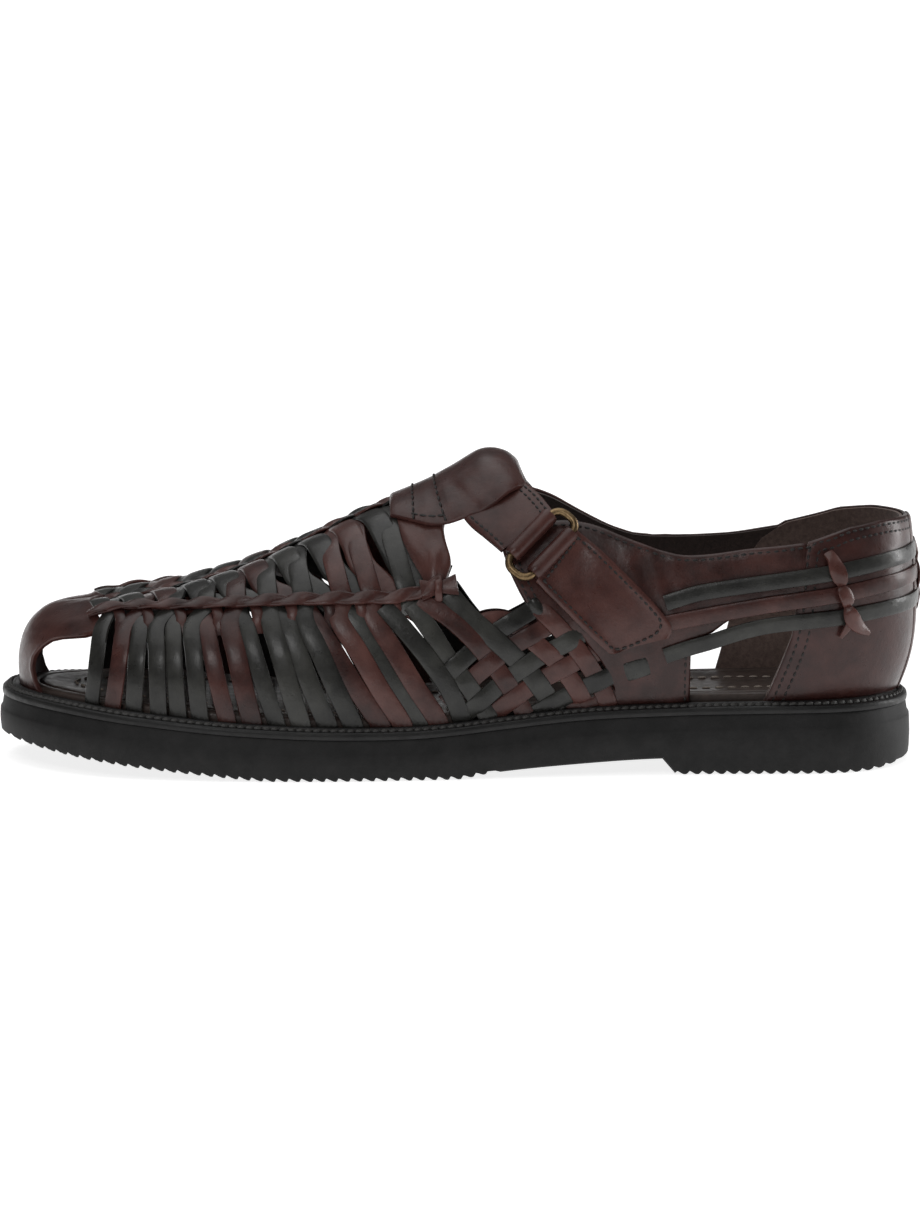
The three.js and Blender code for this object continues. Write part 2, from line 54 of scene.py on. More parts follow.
# ---------------------------------------------------------------- the shoe's form, the same as the CAD part's
SOLE_LENGTH = 298.0
TOE_ROUND = 46.0
HEEL_ROUND = 35.0
ROUND_POWER = 2.2
LAST_INSET = 8.0
GAP = 0.3
SOLE = {
    "u": [0, 20, 45, 70, 90, 110, 135, 150, 163, 190, 215, 240, 298],
    "half": [38, 42, 47.5, 50.5, 51.5, 50.5, 47, 44.5, 42, 38, 36.2, 36.2, 36.5],
    "middle": [6, 3, 0.5, -1, -1.5, -2.5, -3.5, -4, -4, -3.5, -2.5, -1.5, 0],
    "top": [23.6, 22.4, 20.1, 17.8, 16.6, 15.9, 15.9, 16.9, 18.2, 20.6, 21.5, 22.0, 22.6],
    "bottom": [9.0, 6.4, 3.8, 1.5, 0, 0, 0, 0, 2.0, 4.0, 5.2, 5.2, 5.2],
}
LAST = {
    "u": [20, 40, 60, 80, 100, 120, 140, 150, 160, 170, 180, 205, 240, 275],
    "ridge": [47.9, 51.2, 55.0, 61.0, 69.6, 79.0, 86.6, 90.4, 94.2, 93.8, 94.0, 97.5, 101.5, 103.5],
    "middle": [3.5, 2.5, 2.0, 2.0, 1.5, 1.0, 0.5, 0.2, 0, -0.2, -0.5, -1, -1, 0],
    "square": [3.2, 3.0, 2.7, 2.4, 2.15, 2.0, 1.95, 1.97, 2.0, 2.1, 2.25, 2.6, 3.0, 3.2],
    "swell": [0.6, 1.0, 1.4, 1.6, 1.8, 2.0, 2.3, 2.5, 2.8, 3.1, 3.4, 4.2, 5.6, 7.2],
}
RIDGE_START, RIDGE_END = 26.0, 275.0
SWELL_POWER = 0.9


def read(table, column, at):
    """A table's column at one or many places, on a smooth curve through its rows."""
    us, vs, at = (np.asarray(v, float) for v in (table["u"], table[column], at))
    last = len(us) - 1
    before = np.maximum(np.arange(last + 1) - 1, 0)
    after = np.minimum(np.arange(last + 1) + 1, last)
    slopes = (vs[after] - vs[before]) / (us[after] - us[before])
    i = np.clip(np.searchsorted(us, at, side="left") - 1, 0, last - 1)
    span = us[i + 1] - us[i]
    t = np.clip((at - us[i]) / span, 0, 1)
    value = (1 + 2 * t) * (1 - t) ** 2 * vs[i] + t * t * (3 - 2 * t) * vs[i + 1]
    return value + span * t * (1 - t) * ((1 - t) * slopes[i] - t * slopes[i + 1])


def round_end(share):
    """Share of the full width near a rounded end: 0 at its tip and 1 where the rounding stops."""
    left = np.maximum(1 - np.maximum(share, 0), 0)
    return (1 - left**ROUND_POWER) ** (1 / ROUND_POWER)


def outline(turn, side, inset):
    """x and y of the sole's outline, moved in by inset. turn is 0 at the toe and 1 at the heel."""
    reach = SOLE_LENGTH / 2 - inset
    x = -reach * np.cos(math.pi * turn)
    ends = round_end((reach + x) / TOE_ROUND) * round_end((reach - x) / HEEL_ROUND)
    u = x + SOLE_LENGTH / 2
    return x, read(SOLE, "middle", u) + side * (read(SOLE, "half", u) - inset) * ends


def section_of(turn, side):
    """Feather point, ridge point and heights of the last's section at a turn."""
    fx, fy = outline(turn, side, LAST_INSET)
    ridge_u = RIDGE_START + (RIDGE_END - RIDGE_START) * (1 - np.cos(math.pi * turn)) / 2
    low = read(SOLE, "top", fx + SOLE_LENGTH / 2) + GAP
    return fx, fy, ridge_u, low, read(LAST, "ridge", ridge_u)


def form(turn, side, rise):
    """A point of the last. rise is 0 at the feather edge and 1 on the ridge."""
    turn, side, rise = np.broadcast_arrays(*(np.asarray(v, float) for v in (turn, side, rise)))
    fx, fy, ridge_u, low, high = section_of(turn, side)
    rx, ry = ridge_u - SOLE_LENGTH / 2, read(LAST, "middle", ridge_u)
    power = 2 / read(LAST, "square", ridge_u)
    angle = np.clip(rise, 0, 1) * math.pi / 2
    up = np.sin(angle) ** power
    across = np.hypot(rx - fx, ry - fy)
    swell = read(LAST, "swell", ridge_u) * np.sin(math.pi * up**SWELL_POWER) / across
    share = np.where(rise >= 1, 1, 1 - np.cos(angle) ** power - swell)
    return np.stack([fx + share * (rx - fx), fy + share * (ry - fy), low + up * (high - low)], -1)


def turn_at(u):
    """The turn at distance u on the outline itself."""
    return np.arccos(np.clip(1 - 2 * np.asarray(u, float) / SOLE_LENGTH, -1, 1)) / math.pi


def turn_of(u, rise, side):
    """The turn whose point at that rise lies at true distance u from the toe."""
    aim = np.asarray(u, float) + 0 * np.asarray(rise, float)
    for _ in range(8):
        aim = aim + u - (form(turn_at(aim), side, rise)[..., 0] + SOLE_LENGTH / 2)
    return turn_at(aim)


def rise_of_height(turn, z, side):
    """The rise at which the last's section at a turn reaches height z."""
    _, _, ridge_u, low, high = section_of(turn, side)
    up = np.clip((z - low) / (high - low), 0, 1)
    return np.arcsin(np.clip(up ** (read(LAST, "square", ridge_u) / 2), 0, 1)) * 2 / math.pi


def rise_at(u, z, side):
    """The rise of the point at distance u and height z."""
    u, z = np.broadcast_arrays(np.asarray(u, float), np.asarray(z, float))
    aim = u + 0.0
    rise = np.full(aim.shape, 0.4)
    for _ in range(14):
        aim = aim + u - (form(turn_at(aim), side, rise)[..., 0] + SOLE_LENGTH / 2)
        rise = rise_of_height(turn_at(aim), z, side)
    return rise


def on_turn(turn, rise, side, off=0.0):
    """A point of the last raised by off along the surface's normal, and that normal."""
    turn, rise, side = np.broadcast_arrays(*(np.asarray(v, float) for v in (turn, rise, side)))
    step = 0.004
    here = form(turn, side, rise)
    ahead = form(np.minimum(turn + step, 1), side, rise) - form(np.maximum(turn - step, 0), side, rise)
    upward = form(turn, side, np.minimum(rise + step, 1)) - form(turn, side, np.maximum(rise - step, 0))
    normal = np.cross(ahead, upward) * side[..., None]
    normal /= np.maximum(np.linalg.norm(normal, axis=-1, keepdims=True), 1e-9)
    return here - normal * np.asarray(off, float)[..., None], -normal


def at_rise(u, rise, side, off=0.0):
    """The point and normal at distance u and a rise."""
    return on_turn(turn_of(u, rise, side), rise, side, off)


def at_height(u, z, side, off=0.0):
    """The point and normal at distance u and height z."""
    return at_rise(u, rise_at(u, z, side), side, off)


def at_turn_height(turn, z, side, off=0.0):
    """The point and normal at a turn and height z, for the heel, where distance u hardly changes."""
    return on_turn(turn, rise_of_height(turn, z, side), side, off)


def rise_of_q(u, q):
    """The rise at each distance q down from the ridge, minus on the lateral side."""
    u, q = np.broadcast_arrays(np.asarray(u, float), np.asarray(q, float))
    side = np.where(q < 0, LATERAL, MEDIAL)
    rises = np.linspace(1, 0, 49)
    flat_u, flat_q, flat_side = u.ravel(), np.abs(q).ravel(), side.ravel()
    grid = np.broadcast_to(rises, (flat_u.size, rises.size))
    turns = turn_of(flat_u[:, None], grid, flat_side[:, None])
    points = form(turns, flat_side[:, None], grid)
    steps = np.linalg.norm(np.diff(points, axis=1), axis=-1)
    gone = np.concatenate([np.zeros((flat_u.size, 1)), np.cumsum(steps, axis=1)], axis=1)
    found = np.array([np.interp(d, g, rises) for d, g in zip(flat_q, gone)])
    return found.reshape(u.shape)


def at_laid(u, q, off=0.0):
    """The point and normal at distance u and q millimetres down from the ridge."""
    u, q, off = np.broadcast_arrays(*(np.asarray(v, float) for v in (u, q, off)))
    return at_rise(u, rise_of_q(u, q), np.where(q < 0, LATERAL, MEDIAL), off)


# The side plait's height along the vamp. Vamp height k is 0 at the feather edge, 1 on the side plait and 2 on
# the ridge.
PLAIT = {
    "u": [28, 36, 45, 55, 65, 75, 98, 120, 131, 140, 147],
    "z": [46.3, 48.8, 50.2, 51.0, 51.8, 52.7, 54.7, 56.0, 56.5, 58.7, 62.0],
}


def at_vamp(u, k, side, off=0.0):
    """The point and normal at distance u and vamp height k."""
    u, k = np.broadcast_arrays(np.asarray(u, float), np.asarray(k, float))
    plait_z = read(PLAIT, "z", u)
    low = read(SOLE, "top", u) + GAP
    plait_rise = rise_at(u, plait_z, side)
    low_rise = rise_at(u, low + np.clip(k, 0, 1) * (plait_z - low), side)
    rise = np.where(k <= 1, low_rise, plait_rise + (1 - plait_rise) * (k - 1))
    point, normal = at_rise(u, np.minimum(rise, 1), side, off)
    sunk = np.minimum(k, 0) * (plait_z - low)
    return point + sunk[..., None] * np.array([0, 0, 1]), normal


# ---------------------------------------------------------------- making meshes
sole_low, sole_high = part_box("outsole")
ALL_TURNS = np.linspace(0, 1, 401)
RAW_LOW_Y = outline(ALL_TURNS, LATERAL, 0.0)[1].min()
RAW_HIGH_Y = outline(ALL_TURNS, MEDIAL, 0.0)[1].max()
# From the last's own axes, where x is 0 half way along the sole, to the row frame.
SHIFT = np.array([
    (sole_low[0] + sole_high[0]) / 2 / MM,
    (sole_low[1] + sole_high[1]) / 2 / MM - (RAW_LOW_Y + RAW_HIGH_Y) / 2,
    0.0,
])


class Build:
    """Collects pieces of mesh in millimetres and makes one object of them."""

    def __init__(self):
        self.points = []
        self.faces = []
        self.count = 0

    def add(self, points, faces):
        points = np.asarray(points, float).reshape(-1, 3)
        self.points.append(points)
        self.faces.extend(tuple(int(i) + self.count for i in face) for face in faces)
        self.count += len(points)

    def make(self, name, material, slot, replaces=(), sharp=40):
        mesh = bpy.data.meshes.new(name)
        points = (np.concatenate(self.points) + SHIFT) * MM
        mesh.from_pydata(points.tolist(), [], self.faces)
        mesh.validate()
        mesh.shade_smooth()
        mesh.set_sharp_from_angle(angle=math.radians(sharp))
        mesh.materials.append(material)
        made = bpy.data.objects.new(name, mesh)
        bpy.context.scene.collection.objects.link(made)
        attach(made, "root")
        if replaces:
            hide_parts(*replaces)


def grid_faces(rows, columns, closed_rows=False, closed_columns=False, flip=False):
    """Quads over a grid of points in row order."""
    faces = []
    for r in range(rows if closed_rows else rows - 1):
        for c in range(columns if closed_columns else columns - 1):
            a, b = r * columns + c, r * columns + (c + 1) % columns
            d, e = ((r + 1) % rows) * columns + c, ((r + 1) % rows) * columns + (c + 1) % columns
            faces.append((a, d, e, b) if flip else (a, b, e, d))
    return faces


# A strip's cross-section, flat below and crowned above: (share of half width, share of thickness).
STRIP_SECTION = [
    (-0.86, 0.0), (0.0, 0.0), (0.86, 0.0), (0.97, 0.16), (1.0, 0.5), (0.94, 0.8), (0.76, 0.97), (0.38, 1.07),
    (0.0, 1.1), (-0.38, 1.07), (-0.76, 0.97), (-0.94, 0.8), (-1.0, 0.5), (-0.97, 0.16),
]


def strip(build, centre, normal, half, thick, roll=0.0):
    """A leather strip along centre points, lying on its underside, with its face along the normals."""
    centre = np.asarray(centre, float)
    count = len(centre)
    along = np.gradient(centre, axis=0)
    along /= np.maximum(np.linalg.norm(along, axis=1, keepdims=True), 1e-9)
    across = np.cross(along, normal)
    across /= np.maximum(np.linalg.norm(across, axis=1, keepdims=True), 1e-9)
    up = np.cross(across, along)
    roll = np.broadcast_to(np.asarray(roll, float), (count,))[:, None]
    across, up = across * np.cos(roll) + up * np.sin(roll), up * np.cos(roll) - across * np.sin(roll)
    half = np.broadcast_to(np.asarray(half, float), (count,))
    thick = np.broadcast_to(np.asarray(thick, float), (count,))
    lines = [centre + across * (a * half)[:, None] + up * (b * thick)[:, None] for a, b in STRIP_SECTION]
    points = np.stack(lines, axis=1)
    size = len(STRIP_SECTION)
    faces = grid_faces(count, size, closed_columns=True)
    faces.append(tuple(range(size))[::-1])
    faces.append(tuple((count - 1) * size + i for i in range(size)))
    build.add(points, faces)


def spline(values, count):
    """count values evenly spread along a smooth curve through the given ones."""
    values = np.asarray(values, float)
    places = {"u": np.arange(len(values)), "value": values}
    return read(places, "value", np.linspace(0, len(values) - 1, count))


def path(rows, count):
    """Each column of rows, spread along a smooth curve."""
    return [spline([row[c] for row in rows], count) for c in range(len(rows[0]))]


def even(points, *others, gap):
    """Points at an even gap along a line of points, with other values carried along."""
    lengths = np.concatenate([[0], np.cumsum(np.linalg.norm(np.diff(points, axis=0), axis=1))])
    count = max(int(round(lengths[-1] / gap)), 2)
    places = np.linspace(0, lengths[-1], count + 1)
    carry = lambda v: np.stack([np.interp(places, lengths, v[:, i]) for i in range(v.shape[1])], 1)
    return [carry(np.asarray(v, float)) for v in (points, *others)]


def stitches(build, points, normals, pitch=2.7, length=1.9, wide=0.42, high=0.4, skew=0.0):
    """A row of thread stitches along a line. Skew turns each stitch away from the line, in radians."""
    at, out = even(points, normals, gap=pitch)
    along = np.gradient(at, axis=0)
    along /= np.linalg.norm(along, axis=1, keepdims=True)
    across = np.cross(along, out)
    across /= np.linalg.norm(across, axis=1, keepdims=True)
    rings, around = 5, 6
    for centre, t, w, n in zip(at, along, across, out):
        t = t * math.cos(skew) + w * math.sin(skew)
        w = np.cross(t, n)
        loops = []
        for place in np.linspace(-1, 1, rings):
            swell = math.sqrt(max(1 - (0.94 * place) ** 2, 0))
            for angle in np.linspace(0, 2 * math.pi, around, endpoint=False):
                side = w * wide * swell * math.cos(angle) + n * high * swell * math.sin(angle)
                loops.append(centre + t * place * length / 2 + side)
        faces = grid_faces(rings, around, closed_columns=True)
        faces += [tuple(range(around))[::-1], tuple((rings - 1) * around + i for i in range(around))]
        build.add(loops, faces)


def panel_points(outline_uv, gap, rim):
    """Boundary loop, inner rings and grid points that fill an outline in a flat domain."""
    loop = np.asarray(outline_uv, float)
    closed = np.vstack([loop, loop[:1]])
    boundary = even(closed, gap=gap)[0][:-1]
    ahead = np.roll(boundary, -1, axis=0) - np.roll(boundary, 1, axis=0)
    inward = np.stack([-ahead[:, 1], ahead[:, 0]], 1)
    inward /= np.maximum(np.linalg.norm(inward, axis=1, keepdims=True), 1e-9)
    x, y = boundary.T
    if np.sum(x * np.roll(y, -1) - np.roll(x, -1) * y) < 0:
        inward = -inward
    rings = [boundary + inward * d for d in rim]
    low, high = boundary.min(0), boundary.max(0)
    columns = np.arange(low[0] + gap / 2, high[0], gap)
    rows = np.arange(low[1] + gap / 2, high[1], gap)
    grid = np.stack(np.meshgrid(columns, rows), -1).reshape(-1, 2)
    keep = inside(grid, boundary) & (distance_to(grid, boundary) > rim[-1] + 0.6 * gap)
    clear = lambda ring, d: inside(ring, boundary) & (distance_to(ring, boundary) > 0.7 * d)
    rings = [ring[clear(ring, d)] for ring, d in zip(rings, rim)]
    return boundary, np.concatenate([*rings, grid[keep]])


def inside(points, loop):
    """Whether each point lies inside a closed loop, by counting the edges to its right."""
    x, y = points[:, :1], points[:, 1:]
    a, b = loop, np.roll(loop, -1, axis=0)
    crosses = (a[:, 1] > y) != (b[:, 1] > y)
    with np.errstate(divide="ignore", invalid="ignore"):
        at = a[:, 0] + (y - a[:, 1]) * (b[:, 0] - a[:, 0]) / (b[:, 1] - a[:, 1])
    return (crosses & (x < at)).sum(1) % 2 == 1


def distance_to(points, loop):
    """Each point's distance to the nearest edge of a closed loop."""
    a, b = loop[None], np.roll(loop, -1, axis=0)[None]
    p = points[:, None]
    ab = b - a
    t = np.clip(((p - a) * ab).sum(-1) / np.maximum((ab * ab).sum(-1), 1e-12), 0, 1)
    return np.linalg.norm(p - (a + t[..., None] * ab), axis=-1).min(1)


PANEL_RIM = (0.35, 0.9)  # how far in from its edge a panel has rings of points, where the edge is rounded


def panel(build, outline_uv, place, low, high, gap=1.6, relief=None):
    """A sheet of leather over an outline in a flat domain, between offsets low and high, with rounded edges.
    place maps (first, second, offset) to points and normals; relief adds to the outer offset."""
    boundary, filling = panel_points(outline_uv, gap, PANEL_RIM)
    flat = np.concatenate([boundary, filling])
    edges = [(i, (i + 1) % len(boundary)) for i in range(len(boundary))]
    done = delaunay_2d_cdt([Vector(p) for p in flat], edges, [], 1, 1e-5)
    flat = np.array([tuple(v) for v in done[0]])
    triangles = [tuple(t) for t in done[2]]
    near = distance_to(flat, boundary)
    rounding = 0.45 * np.clip(1 - near / PANEL_RIM[1], 0, 1) ** 2 * (high - low)
    extra = relief(flat[:, 0], flat[:, 1]) if relief else 0.0
    outer = place(flat[:, 0], flat[:, 1], high - rounding + extra)[0]
    count = len(flat)
    a, b, c = triangles[0]
    facing = np.cross(outer[b] - outer[a], outer[c] - outer[a])
    normal = place(flat[a, 0], flat[a, 1], 0.0)[1]
    if np.dot(facing, normal) < 0:
        triangles = [(a, c, b) for a, b, c in triangles]
    inner = place(flat[:, 0], flat[:, 1], np.full(count, low))[0]
    faces = list(triangles) + [(c + count, b + count, a + count) for a, b, c in triangles]
    sides = {}
    for a, b, c in triangles:
        for edge in ((a, b), (b, c), (c, a)):
            sides[edge] = sides.get(edge, 0) + 1
    rim_edges = [edge for edge in sides if (edge[1], edge[0]) not in sides]
    faces += [(b, a, a + count, b + count) for a, b in rim_edges]
    build.add(np.concatenate([outer, inner]), faces)


# ---------------------------------------------------------------- materials
def shader(name):
    """A new material, its nodes, its links and its surface node."""
    material = bpy.data.materials.new(name)
    material.use_nodes = True
    nodes, links = material.node_tree.nodes, material.node_tree.links
    return material, nodes, links, nodes["Principled BSDF"]


def noise(nodes, links, coordinates, scale, detail, rough=0.55):
    made = nodes.new("ShaderNodeTexNoise")
    made.inputs["Scale"].default_value = scale
    made.inputs["Detail"].default_value = detail
    made.inputs["Roughness"].default_value = rough
    links.new(coordinates.outputs["Object"], made.inputs["Vector"])
    return made


def ramp(nodes, links, source, stops):
    """stops are (position, colour) pairs."""
    made = nodes.new("ShaderNodeValToRGB")
    elements = made.color_ramp.elements
    for element, (position, colour) in ((elements[0], stops[0]), (elements[1], stops[-1])):
        element.position = position
        element.color = (*colour, 1)
    for position, colour in stops[1:-1]:
        elements.new(position).color = (*colour, 1)
    links.new(source, made.inputs["Fac"])
    return made


def bump(nodes, links, source, strength, distance, below=None):
    made = nodes.new("ShaderNodeBump")
    made.inputs["Strength"].default_value = strength
    made.inputs["Distance"].default_value = distance
    links.new(source, made.inputs["Height"])
    if below:
        links.new(below.outputs["Normal"], made.inputs["Normal"])
    return made


def leather(name, dark, mid, light, rough=(0.27, 0.42), coat=0.12, grain=0.16):
    """Dyed leather: blotches of tone, a tone of its own for each strip, fine grain and a waxed face."""
    material, nodes, links, surface = shader(name)
    where = nodes.new("ShaderNodeTexCoord")
    blotch = noise(nodes, links, where, 95, 5, 0.6)
    island = nodes.new("ShaderNodeNewGeometry")
    tone = nodes.new("ShaderNodeMath")
    tone.operation = "MULTIPLY_ADD"
    tone.inputs[1].default_value = 0.34
    links.new(island.outputs["Random Per Island"], tone.inputs[0])
    links.new(blotch.outputs["Fac"], tone.inputs[2])
    colour = ramp(nodes, links, tone.outputs[0], [(0.42, dark), (0.62, mid), (0.95, light)])
    links.new(colour.outputs["Color"], surface.inputs["Base Color"])
    worn = noise(nodes, links, where, 240, 6, 0.65)
    gloss = nodes.new("ShaderNodeMapRange")
    gloss.inputs["To Min"].default_value, gloss.inputs["To Max"].default_value = rough
    gloss.inputs["From Min"].default_value, gloss.inputs["From Max"].default_value = 0.35, 0.68
    links.new(worn.outputs["Fac"], gloss.inputs["Value"])
    links.new(gloss.outputs["Result"], surface.inputs["Roughness"])
    pores = nodes.new("ShaderNodeTexVoronoi")
    pores.inputs["Scale"].default_value = 1500
    links.new(where.outputs["Object"], pores.inputs["Vector"])
    fine = bump(nodes, links, pores.outputs["Distance"], grain, 0.00012)
    creased = noise(nodes, links, where, 420, 6, 0.62)
    waves = bump(nodes, links, creased.outputs["Fac"], 0.28, 0.0005, fine)
    links.new(waves.outputs["Normal"], surface.inputs["Normal"])
    surface.inputs["Coat Weight"].default_value = coat
    surface.inputs["Coat Roughness"].default_value = 0.2
    surface.inputs["Specular IOR Level"].default_value = 0.32
    return material


def rubber():
    """Matt black rubber with dust-like blotches and a fine grain."""
    material, nodes, links, surface = shader("sole_rubber")
    where = nodes.new("ShaderNodeTexCoord")
    dust = noise(nodes, links, where, 140, 7, 0.65)
    stops = [(0.35, (0.006, 0.006, 0.006)), (0.7, (0.014, 0.0135, 0.0135))]
    colour = ramp(nodes, links, dust.outputs["Fac"], stops)
    links.new(colour.outputs["Color"], surface.inputs["Base Color"])
    surface.inputs["Roughness"].default_value = 0.62
    surface.inputs["Specular IOR Level"].default_value = 0.3
    skin = noise(nodes, links, where, 1400, 5, 0.7)
    rough = bump(nodes, links, skin.outputs["Fac"], 0.22, 0.0003)
    links.new(rough.outputs["Normal"], surface.inputs["Normal"])
    return material


def thread(name, colour):
    """Thread with a fine mottle."""
    material, nodes, links, surface = shader(name)
    where = nodes.new("ShaderNodeTexCoord")
    twist = noise(nodes, links, where, 2600, 2)
    shade = ramp(nodes, links, twist.outputs["Fac"], [(0.3, tuple(0.5 * c for c in colour)), (0.7, colour)])
    links.new(shade.outputs["Color"], surface.inputs["Base Color"])
    surface.inputs["Roughness"].default_value = 0.6
    return material


def suede(name, dark, light):
    """The napped inner face of the leather."""
    material, nodes, links, surface = shader(name)
    where = nodes.new("ShaderNodeTexCoord")
    nap = noise(nodes, links, where, 700, 8, 0.75)
    colour = ramp(nodes, links, nap.outputs["Fac"], [(0.32, dark), (0.7, light)])
    links.new(colour.outputs["Color"], surface.inputs["Base Color"])
    surface.inputs["Roughness"].default_value = 0.88
    surface.inputs["Sheen Weight"].default_value = 0.15
    fuzz = bump(nodes, links, nap.outputs["Fac"], 0.5, 0.0003)
    links.new(fuzz.outputs["Normal"], surface.inputs["Normal"])
    return material


def aged_brass():
    """Worn brass with brown tarnish."""
    material, nodes, links, surface = shader("ring_brass")
    where = nodes.new("ShaderNodeTexCoord")
    tarnish = noise(nodes, links, where, 500, 6, 0.7)
    stops = [(0.3, (0.1, 0.065, 0.035)), (0.55, (0.22, 0.15, 0.08)), (0.8, (0.38, 0.28, 0.16))]
    colour = ramp(nodes, links, tarnish.outputs["Fac"], stops)
    links.new(colour.outputs["Color"], surface.inputs["Base Color"])
    surface.inputs["Metallic"].default_value = 1.0
    surface.inputs["Roughness"].default_value = 0.36
    return material


BROWN = leather(
    "oxblood_leather", (0.022, 0.0072, 0.006), (0.047, 0.0162, 0.0133), (0.098, 0.039, 0.032), grain=0.1
)
PANEL = leather(
    "panel_leather", (0.027, 0.0092, 0.0075), (0.05, 0.0175, 0.0145), (0.085, 0.033, 0.027), grain=0.08
)
BLACK = leather(
    "black_leather", (0.0085, 0.0082, 0.0075), (0.0175, 0.0172, 0.0155), (0.041, 0.0405, 0.036), grain=0.1
)
WELT = leather(
    "welt_leather", (0.003, 0.0029, 0.0029), (0.0065, 0.0062, 0.0062), (0.013, 0.0125, 0.012),
    rough=(0.4, 0.6), coat=0.05,
)
SOCK = leather(
    "sock_leather", (0.035, 0.025, 0.021), (0.062, 0.044, 0.037), (0.105, 0.076, 0.063),
    rough=(0.35, 0.55), coat=0.1,
)
# One lining suede in two copies: a lighter one for the counter lining, and a darker one with painted shade
# for the quarters' linings, standing in for the shadowed inside of the upper.
LINING = suede("lining_suede", (0.085, 0.055, 0.046), (0.19, 0.13, 0.11))
SHADED_LINING = suede("shaded_lining_suede", (0.022, 0.013, 0.011), (0.05, 0.031, 0.026))
COUNTER = leather(
    "counter_leather", (0.018, 0.0058, 0.0048), (0.036, 0.0118, 0.0098), (0.064, 0.0235, 0.0195), grain=0.06
)
DARK_THREAD = thread("dark_thread", (0.012, 0.009, 0.008))
WELT_THREAD = thread("welt_thread", (0.05, 0.048, 0.046))
SOCK_THREAD = thread("sock_thread", (0.55, 0.47, 0.4))
RUBBER = rubber()
BRASS = aged_brass()

# ---------------------------------------------------------------- sole
TREAD_PITCH = 4.0
TREAD_DEPTH = 1.2
# One tooth: (share of the pitch, share of the depth).
TOOTH = [(0.0, 1.0), (0.12, 0.9), (0.45, 0.25), (0.6, 0.04), (0.72, 0.0), (0.84, 0.08), (0.95, 0.75)]
FOREFOOT_TREAD = (4.0, 162.0)
HEEL_TREAD = (221.0, 294.0)
BREAST = (216.5, 221.0)  # the heel's slanting front, from the waist down to the heel's tread
HEEL_BEVEL = (279.0, 2.4)  # where the heel begins to curve up behind, and how far
RUBBER_TOP = -2.9  # the rubber's top below the welt's, which is the welt's thickness and a gap


def tread_tip(u):
    """Height of the teeth's tips, or of the plain waist."""
    waist = np.maximum(read(SOLE, "bottom", u), 0)
    breast = read(SOLE, "bottom", u) * (BREAST[1] - u) / (BREAST[1] - BREAST[0])
    past = np.clip((u - HEEL_BEVEL[0]) / (SOLE_LENGTH - HEEL_BEVEL[0]), 0, 1)
    return np.where(u < BREAST[0], waist, np.where(u < BREAST[1], breast, HEEL_BEVEL[1] * past**2))


def tread_stations():
    """Distances u along the sole, and how far each is cut up into the rubber: a sawtooth with worn tips."""
    stations = [(0.0, 0.0), (0.6, 0.0), (1.8, 0.0), (3.0, 0.0)]
    for low, high in (FOREFOOT_TREAD, HEEL_TREAD):
        for start in np.arange(low, high - TREAD_PITCH + 0.01, TREAD_PITCH):
            stations += [(start + share * TREAD_PITCH, cut) for share, cut in TOOTH]
        stations.append((high, 0.6))
        if low == FOREFOOT_TREAD[0]:
            stations += [(u, 0.0) for u in np.arange(164, BREAST[0] - 1, 3.0)]
            stations += [(BREAST[0], 0.0), (BREAST[0] + 0.5, 0.0), (BREAST[1] - 0.4, 0.0)]
    stations += [(295.5, 0.0), (296.8, 0.0), (297.6, 0.0), (298.0, 0.0)]
    us, cuts = np.array(stations).T
    return us, cuts * TREAD_DEPTH


def ring_rows(us, inset, height):
    """A closed loop of the outline: lateral from toe to heel, then back along the medial side."""
    turns = turn_at(us)
    loop = []
    for side, turn, u in ((LATERAL, turns, us), (MEDIAL, turns[-2:0:-1], us[-2:0:-1])):
        x, y = outline(turn, side, inset)
        loop.append(np.stack([x, y, np.broadcast_to(height(u), x.shape)], 1))
    return np.concatenate(loop)


def strip_cap(count, start, flip):
    """Quads that close a loop made by ring_rows."""
    faces = []
    for k in range(count // 2):
        quad = [k, (count - k) % count, count - k - 1, k + 1]
        quad = list(dict.fromkeys(q + start for q in quad))
        if len(quad) > 2:
            faces.append(tuple(quad[::-1] if flip else quad))
    return faces


def outsole():
    """The rubber sole, as loops from its tread up its wall: inset from the outline, and height."""
    us, cuts = tread_stations()
    cut_at = dict(zip(np.round(us, 3), cuts))
    top = lambda u: read(SOLE, "top", u) + RUBBER_TOP
    cut = lambda u: np.array([cut_at[round(float(v), 3)] for v in u])
    rows = [
        (0.9, lambda u: tread_tip(u) + cut(u)),
        (0.25, lambda u: tread_tip(u) + np.maximum(cut(u), 0.5)),
        (0.0, lambda u: tread_tip(u) + 2.6),
        (-0.15, lambda u: 0.5 * (tread_tip(u) + top(u)) - 1.5),
        (0.0, lambda u: top(u) - 4.9),
        (0.25, lambda u: top(u) - 4.3),
        (0.7, lambda u: top(u) - 3.6),
        (1.15, lambda u: top(u) - 0.7),
        (1.5, lambda u: top(u) + 0.1),
        (6.0, lambda u: top(u) + 0.1),
    ]
    loops = [ring_rows(us, inset, height) for inset, height in rows]
    count = len(loops[0])
    build = Build()
    faces = grid_faces(len(rows), count, closed_columns=True)
    faces += strip_cap(count, 0, True) + strip_cap(count, (len(rows) - 1) * count, False)
    build.add(np.concatenate(loops), faces)
    build.make("outsole_body", RUBBER, "sole_rubber", ["outsole"], sharp=28)


ROUND_US = SOLE_LENGTH * (1 - np.cos(np.linspace(0, math.pi, 161))) / 2
WELT_SEAM = 3.1  # the seam's inset from the sole's outline


